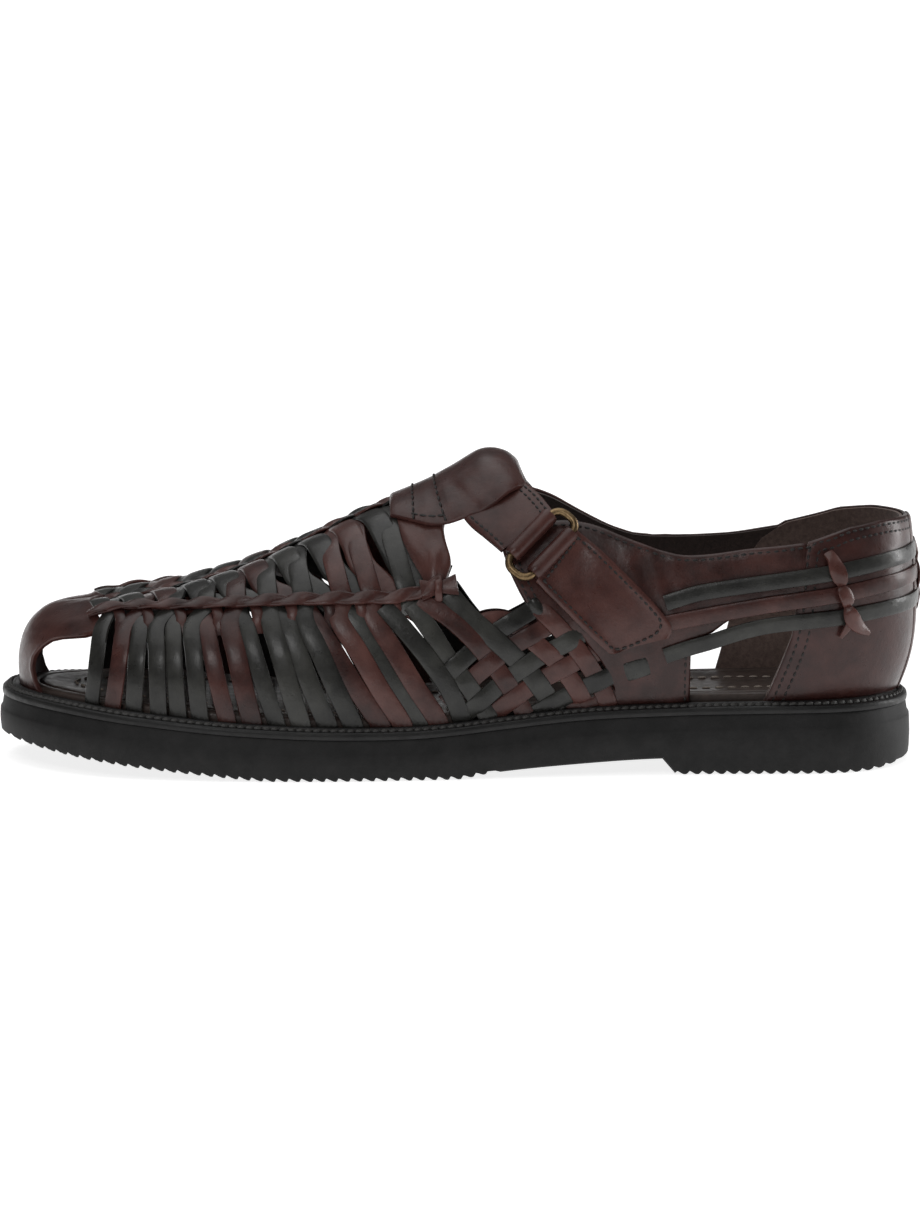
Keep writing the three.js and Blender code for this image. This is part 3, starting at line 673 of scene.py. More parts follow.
def welt():
    """The welt strip, its stitched ledge and the raised bead beside the upper."""
    top = lambda u: read(SOLE, "top", u)
    rows = [
        (1.6, -2.75), (0.95, -2.5), (0.8, -1.6), (0.95, -0.6), (1.5, -0.1), (2.3, -0.05), (3.0, -0.35),
        (3.4, -0.35), (3.8, 0.1), (4.3, 0.75), (5.0, 1.05), (5.7, 0.85), (6.2, 0.3), (9.0, 0.1), (9.0, -2.75),
    ]
    loops = [ring_rows(ROUND_US, inset, lambda u, rise=rise: top(u) + rise) for inset, rise in rows]
    build = Build()
    build.add(np.concatenate(loops), grid_faces(len(rows), len(loops[0]), True, True))
    build.make("welt_strip", WELT, "welt_leather", ["welt"], sharp=55)
    lines = Build()
    upward = np.array([0, 0, 1.0])
    for side in (LATERAL, MEDIAL):
        x, y = outline(turn_at(ROUND_US), side, WELT_SEAM)
        line = np.stack([x, y, top(ROUND_US) + 0.05], 1)
        stitches(lines, line, np.broadcast_to(upward, line.shape), 2.7, 2.7, 1.0, 0.95, skew=side * 0.42)
    lines.make("welt_stitching", WELT_THREAD, "welt_leather")


FOOTBED_SEAM = 25.0


def insole():
    """The footbed: a rim, a shallow groove, a dished middle and a row of pale stitches."""
    top = lambda u: read(SOLE, "top", u) + np.interp(u, [0, 22, 50], [1.5, 1.7, 3.2])
    rows = [
        (11.3, -5.8), (11.3, -2.9), (8.4, -2.9), (8.3, -1.0), (8.7, -0.35), (9.4, 0.0), (11.6, 0.0),
        (12.3, -0.1), (12.7, -0.5), (13.1, -0.55), (13.5, -0.15), (14.6, -0.05), (18.0, -0.4), (26.0, -1.1),
    ]
    loops = [ring_rows(ROUND_US, inset, lambda u, rise=rise: top(u) + rise) for inset, rise in rows]
    count = len(loops[0])
    build = Build()
    faces = grid_faces(len(rows), count, closed_columns=True)
    faces += strip_cap(count, 0, True) + strip_cap(count, (len(rows) - 1) * count, False)
    build.add(np.concatenate(loops), faces)
    build.make("footbed", SOCK, "insole_leather", ["insole"], sharp=50)
    lines = Build()
    for side in (LATERAL, MEDIAL):
        x, y = outline(turn_at(ROUND_US), side, FOOTBED_SEAM)
        line = np.stack([x, y, top(ROUND_US) - 0.8], 1)
        stitches(lines, line, np.broadcast_to([0, 0, 1.0], line.shape), 4.2, 2.6, 0.45, 0.45)
    lines.make("footbed_stitching", SOCK_THREAD, "insole_leather")


# ---------------------------------------------------------------- the woven vamp
STRIP_HALF = 3.1
THROAT_HALF = {"steep": 3.2, "leaf": 4.2}
MEDIAL_NARROW = 0.86  # the medial side strips are this much narrower
STRIP_THICK = 1.2
SUNK = -0.07  # a foot's vamp height, under the welt's bead
# Steep strips, one per column: distance u on the ridge, on the side plait, just under it and at the feather
# edge, and 1 where the strip is black.
STEEP = {
    "ridge": [38.5, 50.3, 60.2, 69.7, 79.0, 88.5, 98.0, 108.2, 116.1, 126.4],
    "plait": [38.0, 48.0, 58.0, 69.4, 79.3, 89.8, 101.3, 113.5, 123.0, 134.5],
    "side": [35.8, 43.4, 53.8, 65.1, 77.3, 90.5, 101.6, 112.2, 123.4, 135.5],
    "foot": [33.4, 40.0, 54.7, 67.9, 84.4, 100.0, 116.5, 132.2, 143.6, 147.4],
    "black": [1, 0, 1, 1, 0, 1, 1, 0, 0, 1],
}
# Leaf strips start at the steep strip before, cross over its top and pass under their own.
LEAF = {
    "plait": [44.7, 55.6, 67.1, 78.3, 88.2, 99.7, 109.5, 121.4, 131.0, 137.8],
    "side": [48.0, 58.7, 69.4, 82.1, 95.1, 104.3, 117.1, 126.6, 137.5, 147.4],
    "foot": [46.6, 60.9, 76.4, 92.2, 108.3, 125.2, 138.2, 140.8, 153.9, 163.8],
    "black": [1, 1, 0, 1, 1, 0, 1, 1, 0, 1],
}
VAMP = {"steep": STEEP, "leaf": LEAF}
PAIRS = len(STEEP["ridge"])
FIRST_LEAF_RIDGE = 28.0
LEAF_SETBACK = 2.5  # how far behind the steep strip before it a leaf strip starts on the ridge
# The last strips run on from the side plait into the basket weave of the sides instead of straight to the
# welt: distance u and height z.
RUN_ON = {
    ("leaf", 7): [(126.6, 54.0), (133.2, 47), (140.8, 38), (147.5, 28), (152, 17)],
    ("steep", 9): [(135.5, 54.5), (141, 47.5), (147.4, 37.8), (155, 27), (161, 17)],
    ("leaf", 8): [(137.5, 55.5), (145.5, 52), (153.9, 45), (162, 35.5), (168, 26.5), (173, 17)],
    ("leaf", 9): [(147.4, 58), (154.2, 50.6), (162.8, 43.3), (172.5, 34), (179, 25), (184, 17)],
}


def vamp_strip(build, side, stations, half, throat_half=None, gap=1.3):
    """A strip through stations of distance u, vamp height k and offset. Its throat part has its own width."""
    u, k, off = path(stations, 48)
    centre, normal = at_vamp(u, k, side, off)
    wide = half + ((throat_half or half) - half) * np.clip((k - 0.9) / 0.1, 0, 1)
    centre, normal, wide = even(centre, normal, wide[:, None], gap=gap)
    strip(build, centre, normal, wide[:, 0], STRIP_THICK, roll=rng.uniform(-0.06, 0.06))


RIDGE_K = 1.97  # where the strips of both sides meet
CREST = 0.3  # above this share of the drop the vamp is nearly flat


def throat_k(u, drop):
    """The vamp height at which a strip has dropped a share of the way from the ridge to the side plait."""
    if drop < CREST:
        return RIDGE_K + (throat_k(u, CREST) - RIDGE_K) * drop / CREST
    plait_z = read(PLAIT, "z", u)
    ridge_z = read(LAST, "ridge", u)
    rise = rise_at(u, ridge_z - drop * (ridge_z - plait_z), LATERAL)
    plait_rise = rise_at(u, plait_z, LATERAL)
    return 1 + float((rise - plait_rise) / (1 - plait_rise))


CROSSING = 0.57  # how far down a steep strip its leaf passes under it


def throat_part(kind, i):
    """Stations of one strip, from the ridge to just under the side plait."""
    ridge, plait = STEEP["ridge"][i], STEEP["plait"][i]
    crossing = ridge + CROSSING * (plait - ridge)
    if kind == "steep":
        drops = [(0.0, -0.3), (0.13, 0.3), (CREST, 1.3), (CROSSING, 1.7), (0.82, 1.6), (1.0, 0.9)]
        stations = [(ridge + drop * (plait - ridge), drop, off) for drop, off in drops]
        end = (STEEP["side"][i], 0.86, 1.0)
    else:
        start = (STEEP["ridge"][i - 1] if i else FIRST_LEAF_RIDGE) + LEAF_SETBACK
        leaf = LEAF["plait"][i]
        stations = [
            (start, 0.0, 0.1),
            (0.6 * start + 0.4 * crossing, 0.5 * CREST, 1.4),
            (0.3 * start + 0.7 * crossing, CREST, 1.1),
            (crossing, CROSSING, 0.2),
            (0.45 * crossing + 0.55 * leaf, 0.81, -0.1),
            (leaf, 1.0, 0.3),
        ]
        end = (LEAF["side"][i], 0.86, 0.7)
    return [(u, throat_k(u, drop), off) for u, drop, off in stations] + [end]


MEDIAL_LEAN = 3.6  # how much further forward the medial strips end, apart from the first two pairs
SIDE_LIFT = {"steep": 1.2, "leaf": 0.7}


def side_part(kind, i, side):
    """Stations of one strip, from under the side plait to the welt."""
    lean = MEDIAL_LEAN if side == MEDIAL and i > 1 else 0
    top, foot = VAMP[kind]["side"][i], VAMP[kind]["foot"][i] - lean
    lift = SIDE_LIFT[kind]
    return [
        (0.7 * top + 0.3 * foot, 0.62, lift),
        (0.35 * top + 0.65 * foot, 0.32, lift),
        (foot, 0.04, lift),
        (foot + 0.4, SUNK, lift),
    ]


def vamp_half(i, side):
    """Half the width of the strips of pair i on the sides, narrower near the toe."""
    share = 0.93 if i < 4 else 1.03 if i < 9 else 1.18
    half = STRIP_HALF * share
    return half if side == LATERAL else MEDIAL_NARROW * half


def vamp_strips():
    """The pairs of strips on both sides, from the ridge to the welt or to where the basket weave begins."""
    brown, black = Build(), Build()
    for side in (LATERAL, MEDIAL):
        for i in range(PAIRS):
            for kind, table in VAMP.items():
                build = black if table["black"][i] else brown
                stations = throat_part(kind, i)
                if (kind, i) not in RUN_ON:
                    stations = stations + side_part(kind, i, side)
                throat_half = THROAT_HALF[kind] * min(0.76 + 0.06 * i, 1.0)
                vamp_strip(build, side, stations, vamp_half(i, side), throat_half)
    brown.make("brown_vamp_strips", BROWN, "woven_leather", ["upper"])
    black.make("black_vamp_strips", BLACK, "woven_leather", ["upper"])


def twisted(build, centre, normal, swing, rise, hump, half, thick, phase):
    """One strand of a twisted pair along a line: swing and rise are its amplitudes, hump half its pitch."""
    lengths = np.concatenate([[0], np.cumsum(np.linalg.norm(np.diff(centre, axis=0), axis=1))])
    along = np.gradient(centre, axis=0)
    along /= np.linalg.norm(along, axis=1, keepdims=True)
    across = np.cross(along, normal)
    angle = math.pi * lengths / hump + phase
    line = centre + across * (swing * np.cos(angle))[:, None] + normal * (rise * (1 + np.sin(angle)))[:, None]
    strip(build, line, normal, half * (1 + 0.3 * np.sin(angle)), thick, roll=0.5 * np.cos(angle))


def side_plaits():
    """The twisted strands along each side, the short ties between the strips, and the bow at the end."""
    build = Build()
    for side in (LATERAL, MEDIAL):
        u = np.linspace(31.5, 145 if side == LATERAL else 140, 90)
        centre, normal = at_vamp(u, np.ones(u.shape), side, 1.7)
        centre, normal = even(centre, normal, gap=0.7)
        for phase in (0.4, 0.4 + math.pi):
            twisted(build, centre, normal, 0.9, 0.65, 11.0, 1.7, 1.3, phase)
        for i in range(PAIRS - 1):
            place = 0.5 * (STEEP["side"][i] + LEAF["side"][i])
            stations = [
                (place - 1.6, 1.04, 1.5),
                (place, 0.93, 1.2),
                (place - 0.2, 0.87, 0.5),
                (place, 0.8, -0.9),
            ]
            vamp_strip(build, side, stations, 1.8, gap=0.9)
        bow_tie(build, side)
    build.make("side_plaits", BROWN, "woven_leather", ["upper"])


def bow_tie(build, side):
    """The fold that ends a side plait: a flat bow with a narrow wrap round its middle."""
    shift = 0 if side == LATERAL else -7
    raised = 0.4 * shift
    share = np.linspace(0, 1, 24)
    u = shift + 138.4 + 11.8 * share
    z = raised + 58.4 + 2.0 * share
    away = np.abs(2 * share - 1)
    centre, normal = at_height(u, z, side, 2.4 + 0.9 * away)
    strip(build, centre, normal, 1.6 + 2.0 * away**0.8, 1.1)
    down = np.linspace(0, 1, 12)
    bulge = np.sin(math.pi * down) ** 0.5
    wrap_z = raised + 62.6 - 6.4 * down
    centre, normal = at_height(np.full(12, shift + 144.2), wrap_z, side, 2.0 + 1.9 * bulge)
    strip(build, centre, normal, 1.2, 0.9)


RIDGE_HUMP = 9.6  # half the pitch of the ridge plait


def ridge_plait():
    """A flat plait of two brown strands and a black one on a backing strip, over the strips' ridge ends."""
    brown, black = Build(), Build()
    u = np.linspace(30, 132, 110)
    centre, normal = ridge_line(u, np.interp(u, [30, 50, 80, 120, 132], [-0.4, -0.2, 0.1, 0.4, 0.2]))
    centre, normal = even(centre, normal, gap=0.8)
    strip(black, centre - 0.5 * normal, normal, 4.0, 0.8)
    twisted(brown, centre, normal, 2.5, 0.4, RIDGE_HUMP, 2.6, 1.1, 0.0)
    twisted(black, centre, normal, 2.5, 0.4, RIDGE_HUMP, 2.6, 1.1, math.pi)
    twisted(brown, centre, normal, 1.4, 0.25, RIDGE_HUMP, 2.0, 1.2, 0.5 * math.pi)
    brown.make("brown_ridge_plait", BROWN, "woven_leather", ["upper"])
    black.make("black_ridge_plait", BLACK, "woven_leather", ["upper"])


def ridge_line(u, off):
    """Points above the ridge, with the normal that both sides share."""
    points, normals = on_turn(ridge_turn(u), np.ones(np.shape(u)), LATERAL, 0.0)
    normals = normals * np.array([1, 0, 1])
    normals /= np.linalg.norm(normals, axis=-1, keepdims=True)
    return points + normals * off[..., None], normals


def ridge_turn(u):
    """The turn of the ridge's point at distance u."""
    share = (np.asarray(u, float) - RIDGE_START) / (RIDGE_END - RIDGE_START)
    return np.arccos(np.clip(1 - 2 * share, -1, 1)) / math.pi


# ---------------------------------------------------------------- the basket weave of the sides
# "Rising" strips come forward and down from under the quarter: distance u and height z, from the quarter's
# edge.
RISING = [
    [(177, 55), (171, 51.4), (163.8, 47.2), (157, 42.4), (150, 36.6), (143, 30)],
    [(184.5, 51), (176.5, 46.8), (168.5, 42.5), (160.5, 36.8), (153, 30.5), (146, 24)],
    [(195, 48.6), (183.6, 42.2), (175, 37.8), (167, 32.4), (159.5, 26.6), (152, 20)],
    [(200.5, 41.8), (188, 36.8), (180, 32.8), (171.8, 28), (164, 22.4), (158, 16.5)],
    [(206.5, 35), (193.9, 29.8), (185.5, 26), (177, 21.5), (170, 16.5)],
    [(206, 26.5), (196, 23.2), (189, 20.4), (182, 16.5)],
]
RISING_BLACK = [1, 0, 1, 0, 1, 0]
# "Falling" strips that start at the throat's foot or under the quarter.
FALLING = [
    [(152, 45.5), (159.5, 49.8), (167, 49.4), (174, 43.6), (182, 36.5), (188.5, 27.5), (193, 17)],
    [(175, 55), (184, 46), (191.5, 36.5), (197, 26.5), (200, 17)],
]
FALLING_BLACK = [0, 0]
BASKET_HALF = 3.05
MEDIAL_DROP = 9.0  # how much lower the medial weave ends at the throat's foot


def lowered(points, side):
    """The same line on the medial side, where the throat reaches further down."""
    if side == LATERAL:
        return points
    drop = lambda u, z: MEDIAL_DROP * min(max((u - 138) / 14, 0), 1) * min(max((z - 22) / 20, 0), 1)
    return [(u, z - drop(u, z)) for u, z in points]


def crossings(path_a, path_b):
    """Where two lines of points cross, as a place in each of their lists, or None."""
    a, b = np.asarray(path_a), np.asarray(path_b)
    for i in range(len(a) - 1):
        for j in range(len(b) - 1):
            r, s, w = a[i + 1] - a[i], b[j + 1] - b[j], b[j] - a[i]
            cross = r[0] * s[1] - r[1] * s[0]
            if abs(cross) < 1e-9:
                continue
            t, v = (w[0] * s[1] - w[1] * s[0]) / cross, (w[0] * r[1] - w[1] * r[0]) / cross
            if 0 <= t <= 1 and 0 <= v <= 1:
                return i + t, j + v
    return None


def woven_line(line, heights, side):
    """A centre line whose offset passes through (place, offset) pairs with rounded steps."""
    places, offs = np.array(sorted(heights)).T
    at = np.arange(len(line))
    off = np.interp(at, places, offs)
    kernel = np.hanning(9)[1:-1]
    padded = np.pad(off, 3, mode="edge")
    off = np.convolve(padded, kernel / kernel.sum(), mode="valid")
    return at_height(line[:, 0], line[:, 1], side, off)


def basket():
    """Falling and rising strips that pass over and under each other in turn."""
    brown, black = Build(), Build()
    falling = [(points, VAMP[kind]["black"][i]) for (kind, i), points in RUN_ON.items()]
    falling += list(zip(FALLING, FALLING_BLACK))
    for side in (LATERAL, MEDIAL):
        lines = [np.stack(path(lowered(points, side), 70), 1) for points, _ in falling]
        rising = [np.stack(path(lowered(points, side), 70), 1) for points in RISING]
        tucked = 1.6 if side == LATERAL else -0.6  # the medial strips' free ends lie under their neighbours
        down = [[(0, tucked), (12, 1.5)] if n < 4 else [(0, 0.2)] for n in range(len(lines))]
        up = [[(0, -0.2), (7, 0.1)] for _ in rising]
        for n, fall in enumerate(lines):
            for m, rise in enumerate(rising):
                met = crossings(fall, rise)
                if met is None:
                    continue
                near_throat = n < 4 and fall[int(met[0]), 1] > 41
                over = (n == 0 or (n + m) % 2 == 0 or near_throat) and (n, m) != (4, 0)
                down[n].append((met[0], 1.9 if over else 0.5))
                up[m].append((met[1], 0.4 if over else 1.9))
        for n, fall in enumerate(lines):
            centre, normal = woven_line(fall, down[n] + [(69, 0.6)], side)
            half = 3.3 if n == 3 else BASKET_HALF
            strip(black if falling[n][1] else brown, centre, normal, half, STRIP_THICK)
        for m, rise in enumerate(rising):
            centre, normal = woven_line(rise, up[m] + [(69, 0.0)], side)
            strip(black if RISING_BLACK[m] else brown, centre, normal, BASKET_HALF, STRIP_THICK)
    brown.make("brown_basket_strips", BROWN, "woven_leather", ["upper"])
    black.make("black_basket_strips", BLACK, "woven_leather", ["upper"])


# ---------------------------------------------------------------- toe band, quarters and counter
# The toe leather's rear edge, from the welt up: distance u and height z.
TOE_EDGE = [
    (15.8, 22.5), (14.1, 26), (12.9, 31), (13.7, 35), (16.2, 38.2),
    (19.5, 40.6), (24, 41.8), (30, 42.6), (35.2, 44.2), (36, 46.5),
]


def toe_band():
    """The plain leather over the toe tip, from the welt to the first strips, with a rolled rear edge."""
    u, z = np.array(TOE_EDGE).T
    rises = rise_at(u, z, LATERAL)
    turns = turn_of(u, rises, LATERAL)
    rises = np.append(rises, 1.0)
    turns = np.append(turns, ridge_turn(35.0))
    rises[0] = 0.0
    order = np.argsort(rises)
    rise = np.linspace(0, 1, 34)
    edge = np.interp(rise, rises[order], turns[order])
    share = np.concatenate([np.linspace(-1, -0.9, 6), np.linspace(-0.85, 0.85, 35), np.linspace(0.9, 1, 6)])
    turn = np.abs(share)[:, None] * edge[None]
    side = np.where(share < 0, LATERAL, MEDIAL)[:, None] + 0 * turn
    grid_rise = rise[None] + 0 * turn
    roll = 0.8 * np.clip((np.abs(share) - 0.86) / 0.14, 0, 1)[:, None] ** 2
    close = 0.8 * np.clip((np.abs(share) - 0.97) / 0.03, 0, 1)[:, None]
    creases = 0.12 * np.sin(26 * grid_rise + 9 * share[:, None]) * np.abs(share)[:, None]
    high = np.clip((grid_rise - 0.55) / 0.45, 0, 1)
    crown = 1.2 * high**2 * (3 - 2 * high)
    outer = on_turn(turn, grid_rise, side, 1.3 + roll - close + creases + crown)[0]
    inner = on_turn(turn, grid_rise, side, 0.1)[0]
    rows, columns = turn.shape
    build = Build()
    count = rows * columns
    faces = grid_faces(rows, columns)
    faces += [tuple(i + count for i in face[::-1]) for face in faces]
    rim = [(r * columns, (r + 1) * columns) for r in range(rows - 1)]
    rim += [((r + 1) * columns - 1, (r + 2) * columns - 1) for r in range(rows - 1)]
    rim += [(c, c + 1) for c in range(columns - 1)]
    rim += [((rows - 1) * columns + c, (rows - 1) * columns + c + 1) for c in range(columns - 1)]
    faces += [(a, b, b + count, a + count) for a, b in rim]
    build.add(np.concatenate([outer.reshape(-1, 3), inner.reshape(-1, 3)]), faces)
    build.make("toe_band", PANEL, "woven_leather", ["upper"])


# A quarter's outline in distance u and height z: its top edge, its rear edge, its lower edge, which is cut
# into points, and its front edge, which runs up to the top edge.
QUARTER_TOP = [
    (164.2, 73.4), (168, 75.5), (176, 79), (184, 80.4), (191, 79.9), (196.7, 78.4), (203, 76), (210, 73.5),
    (217, 71.3), (223.4, 70.2), (233, 70.8), (243.4, 72.3), (253, 73.2), (262.5, 74.4),
]
QUARTER_REAR = [
    (262, 57), (250, 55.2), (241, 52), (236, 48.8), (231.5, 45.4), (227, 43.4), (225.2, 41), (225, 30),
    (225, 20.5),
]
QUARTER_FOOT = [(195.4, 20.5), (194, 25), (200.6, 27), (196.7, 36), (192.4, 40.9), (189, 46.6), (183.6, 43.8)]
QUARTER_FRONT = [(178, 46.5), (173.4, 53), (170, 59), (166.6, 66), (164.2, 73.4)]
QUARTER_REAR_SEAM = [(225.3, 40), (225, 31), (225, 22)]
MEDIAL_TOP = [
    (164.2, 84), (171, 86.6), (179, 84.8), (187.6, 80), (196, 75.2), (203, 72), (209, 70.2), (217, 69.5),
    (230, 69.5), (244, 70.4), (262.5, 73.4),
]
COUNTER_FRONT = {
    LATERAL: [(248.4, 21), (257.6, 44.5), (260.2, 66.6), (262.5, 74.4)],
    MEDIAL: [(234.5, 21), (241.3, 44.5), (244, 58), (250, 68), (258, 73.6)],
}
COUNTER_TOP = [(262.5, 74.4), (269, 76.4), (275.7, 78.6), (285.5, 79.9), (293, 79.7), (300, 79.5)]
HEEL_SPREAD = 230.0  # millimetres round the heel for a turn of 1
HEEL_FULL = 24.0  # the distance to each side over which the heel's fullness fades


def heel_fullness(z):
    """How far the heel's centre line stands out from the last: most low down, and again at the collar."""
    return 0.8 + 1.4 * np.exp(-(((z - 35) / 15) ** 2)) + 0.9 * np.clip((z - 70) / 8, 0, 1)


def heel_place(across, z, off):
    """A place on the heel: across is 0 at its centre line and minus on the lateral side."""
    across, z = np.asarray(across, float), np.asarray(z, float)
    off = off + heel_fullness(z) * np.exp(-((across / HEEL_FULL) ** 2))
    side = np.where(across < 0, LATERAL, MEDIAL)
    point, normal = at_turn_height(1 - np.abs(across) / HEEL_SPREAD, z, side, 0.0)
    blend = np.clip(np.abs(across) / 7, 0, 1)[..., None]
    straight = normal * np.array([1, 0, 1])
    normal = normal * blend + straight * (1 - blend)
    normal /= np.linalg.norm(normal, axis=-1, keepdims=True)
    return point + normal * np.asarray(off, float)[..., None], normal


def heel_flat(points, side):
    """Points of distance u and height z, turned into heel_place's flat domain."""
    u, z = np.array(points, float).T
    turn = turn_of(u, rise_at(u, z, side), side)
    return list(zip(side * (1 - turn) * HEEL_SPREAD, z))


def along_line(points, place):
    """Even points and normals along a line in a flat domain."""
    first, second = even(np.asarray(points, float), gap=1.2)[0].T
    return place(first, second, np.zeros(first.shape))


def moved_in(points, distance):
    """A line in a flat domain, moved to its right by a distance."""
    points = np.asarray(points, float)
    along = np.gradient(points, axis=0)
    along /= np.linalg.norm(along, axis=1, keepdims=True)
    return points + np.stack([along[:, 1], -along[:, 0]], 1) * distance


def smooth_line(points, count=60):
    """count points along a smooth curve through the given ones."""
    return np.stack(path(points, count), 1)


def quarters():
    """The two quarters, their linings and stitching, and the woven square in the lateral one."""
    leathers, linings, threads, square = Build(), Build(), Build(), Build()
    woven_square(square)
    square.make("woven_square", BLACK, "woven_leather")
    for side in (LATERAL, MEDIAL):
        place = lambda u, z, off, side=side: at_height(u, z, side, off)
        top = smooth_line(QUARTER_TOP if side == LATERAL else MEDIAL_TOP)
        shape = [tuple(p) for p in top] + QUARTER_REAR + QUARTER_FOOT + QUARTER_FRONT[:-1]
        panel(leathers, shape, place, 0.2, 1.9, gap=2.2, relief=quarter_relief)
        # The quarter linings take the darker suede copy, whose colour is painted shade for the shadowed
        # inside of the upper.
        panel(linings, shape, place, -1.0, 0.1, gap=3.0)
        for line, pitch in (
            (moved_in(top, 1.7), 2.6),
            (moved_in(smooth_line(QUARTER_REAR_SEAM, 20), 1.7), 2.4),
            (moved_in(smooth_line(QUARTER_FRONT, 30), 1.4), 2.3),
            (moved_in(smooth_line(QUARTER_FRONT, 30), 3.6), 2.3),
        ):
            points, normals = along_line(line, place)
            stitches(threads, points + 1.85 * normals, normals, pitch, 1.7)
    leathers.make("quarters", PANEL, "woven_leather", ["upper"])
    linings.make("quarter_linings", SHADED_LINING, "woven_leather", ["upper"])
    threads.make("quarter_stitching", DARK_THREAD, "woven_leather")


def woven_square(build):
    """A short black strip that shows as a square on the lateral quarter, with both its ends tucked under."""
    line = smooth_line([(202.8, 32.7), (205.2, 33.4), (207.8, 34.2), (210.4, 35.0), (212.8, 35.7)], 16)
    off = np.interp(np.arange(16), [0, 1.5, 3, 12, 13.5, 15], [-0.6, 0.4, 1.3, 1.3, 0.4, -0.6])
    centre, normal = at_height(line[:, 0], line[:, 1], LATERAL, off)
    strip(build, centre, normal, 3.1, 0.9)


def quarter_relief(u, z):
    """Soft waves in the leather, strongest where the quarter bends behind the flap."""
    waves = 0.22 * np.sin(0.21 * u + 0.35 * z) + 0.16 * np.sin(0.43 * u - 0.27 * z + 1.0)
    pull = np.exp(-((u - 213) ** 2) / 90 - (z - 61) ** 2 / 120)
    return 0.45 * waves + 0.6 * pull * np.sin(0.9 * (u - 213) + 0.3 * (z - 61))


def counter():
    """The heel counter, its lining and stitching, and the stay down its back."""
    leathers, linings, threads = Build(), Build(), Build()
    fronts = {side: heel_flat(COUNTER_FRONT[side], side) for side in (LATERAL, MEDIAL)}
    tops = {side: heel_flat(COUNTER_TOP[:-1], side)[1:] for side in (LATERAL, MEDIAL)}
    shape = fronts[LATERAL] + tops[LATERAL] + [(0.0, 79.5)] + tops[MEDIAL][::-1] + fronts[MEDIAL][::-1]
    waves = lambda across, z: 0.1 * np.sin(0.16 * across + 0.2 * z)
    panel(leathers, shape, heel_place, 0.2, 1.8, gap=2.2, relief=waves)
    panel(linings, shape, heel_place, -1.2, 0.1, gap=3.0)
    for side in (LATERAL, MEDIAL):
        line = smooth_line(fronts[side] + tops[side], 60)
        for inset in (1.6, 4.0):
            points, normals = along_line(moved_in(line, -side * inset), heel_place)
            stitches(threads, points + 1.75 * normals, normals, 2.4, 1.7)
    back = Build()
    stay = [(-5, 21), (-5.6, 50), (-5, 79.3), (5, 79.3), (5.6, 50), (5, 21)]
    panel(back, stay, heel_place, 1.6, 2.3, gap=1.6)
    leathers.make("counter", COUNTER, "woven_leather", ["upper"])
    back.make("back_stay", COUNTER, "woven_leather", ["upper"])
    linings.make("counter_lining", LINING, "woven_leather", ["upper"])
    threads.make("counter_stitching", DARK_THREAD, "woven_leather")


# ---------------------------------------------------------------- the heel's three straps and their lace
# Distance u and height z from the quarter back to the heel, and 1 where the strap is black.
SIDE_STRAPS = [
    ([(216.8, 55.2), (221, 56.5), (229.6, 58.8), (249.3, 61.7), (271.7, 64.9), (285.5, 67.2), (293.1, 68.3)],
     1),
    ([(214, 47.5), (219.7, 49.4), (249.3, 54.7), (274, 58.2), (285, 60.0), (293.4, 61.2)],
     0),
    ([(216.6, 38.6), (222, 40.4), (229.6, 42.6), (249.3, 48.2), (275.7, 51.1), (286, 52.4), (293.4, 53.2)],
     1),
]
SIDE_STRAP_HALF = 2.6


def side_straps():
    """The straps that run round the heel from quarter to quarter, and the lace that ties them."""
    brown, black = Build(), Build()
    for points, dark in SIDE_STRAPS:
        flats = [smooth_line(heel_flat(points, side), 90) for side in (LATERAL, MEDIAL)]
        line = np.concatenate([flats[0], [[0.0, points[-1][1] + 0.8]], flats[1][::-1]])
        line = even(line, gap=1.6)[0]
        out = np.abs(line[:, 0])
        off = np.interp(out, [0, 12, 30, 42, 60, 90, 140, 150], [1.6, 1.6, 1.8, 2.3, 2.3, 2.1, 2.1, 1.2])
        centre, normal = heel_place(line[:, 0], line[:, 1], off)
        strip(black if dark else brown, centre, normal, SIDE_STRAP_HALF, 1.15)
    knots(brown)
    brown.make("brown_heel_straps", BROWN, "woven_leather", ["upper"])
    black.make("black_heel_straps", BLACK, "woven_leather", ["upper"])


# The lace that ties the straps together: distance u, height z, half width and offset.
LACE = [
    (268.6, 70.6, 1.6, 2.4), (269.6, 68.6, 2.2, 3.8), (270.6, 65.6, 2.8, 5.0), (271.8, 62.6, 2.4, 4.8),
    (272.2, 60.8, 1.2, 3.6), (272.6, 58.8, 2.4, 5.0), (273.6, 56.2, 2.5, 5.0), (274.0, 54.4, 1.2, 3.7),
    (274.5, 52.4, 2.3, 5.0), (275.6, 49.8, 2.8, 4.8), (278.2, 47.2, 2.0, 3.4), (280.8, 45.4, 0.8, 2.5),
]


def knots(build):
    """The lace down each side with its loose tail, and the wavy one down the back."""
    for side in (LATERAL, MEDIAL):
        u, z, half, off = path(LACE, 60)
        flat = np.array(heel_flat(list(zip(u, z)), side))
        centre, normal = heel_place(flat[:, 0], flat[:, 1], off)
        strip(build, centre, normal, half, 1.1, roll=0.35 * np.sin(np.linspace(0, 5 * math.pi, 60)))
        tail = np.array(heel_flat([(275.2, 50.4), (274.0, 47.6), (272.4, 44.6)], side))
        tail = smooth_line(tail, 12)
        centre, normal = heel_place(tail[:, 0], tail[:, 1], np.linspace(4.6, 2.6, 12))
        strip(build, centre, normal, np.linspace(1.6, 0.7, 12), 1.0)
    z = np.linspace(70.5, 50.5, 50)
    wave = np.sin((z - 50.5) / 20 * 3 * math.pi)
    centre, _ = heel_place(1.2 * wave, z, 1.9 + 0.8 * np.abs(wave))
    strip(build, centre, np.broadcast_to([1.0, 0, 0], centre.shape), 2.2 + 0.5 * wave**2, 0.9)


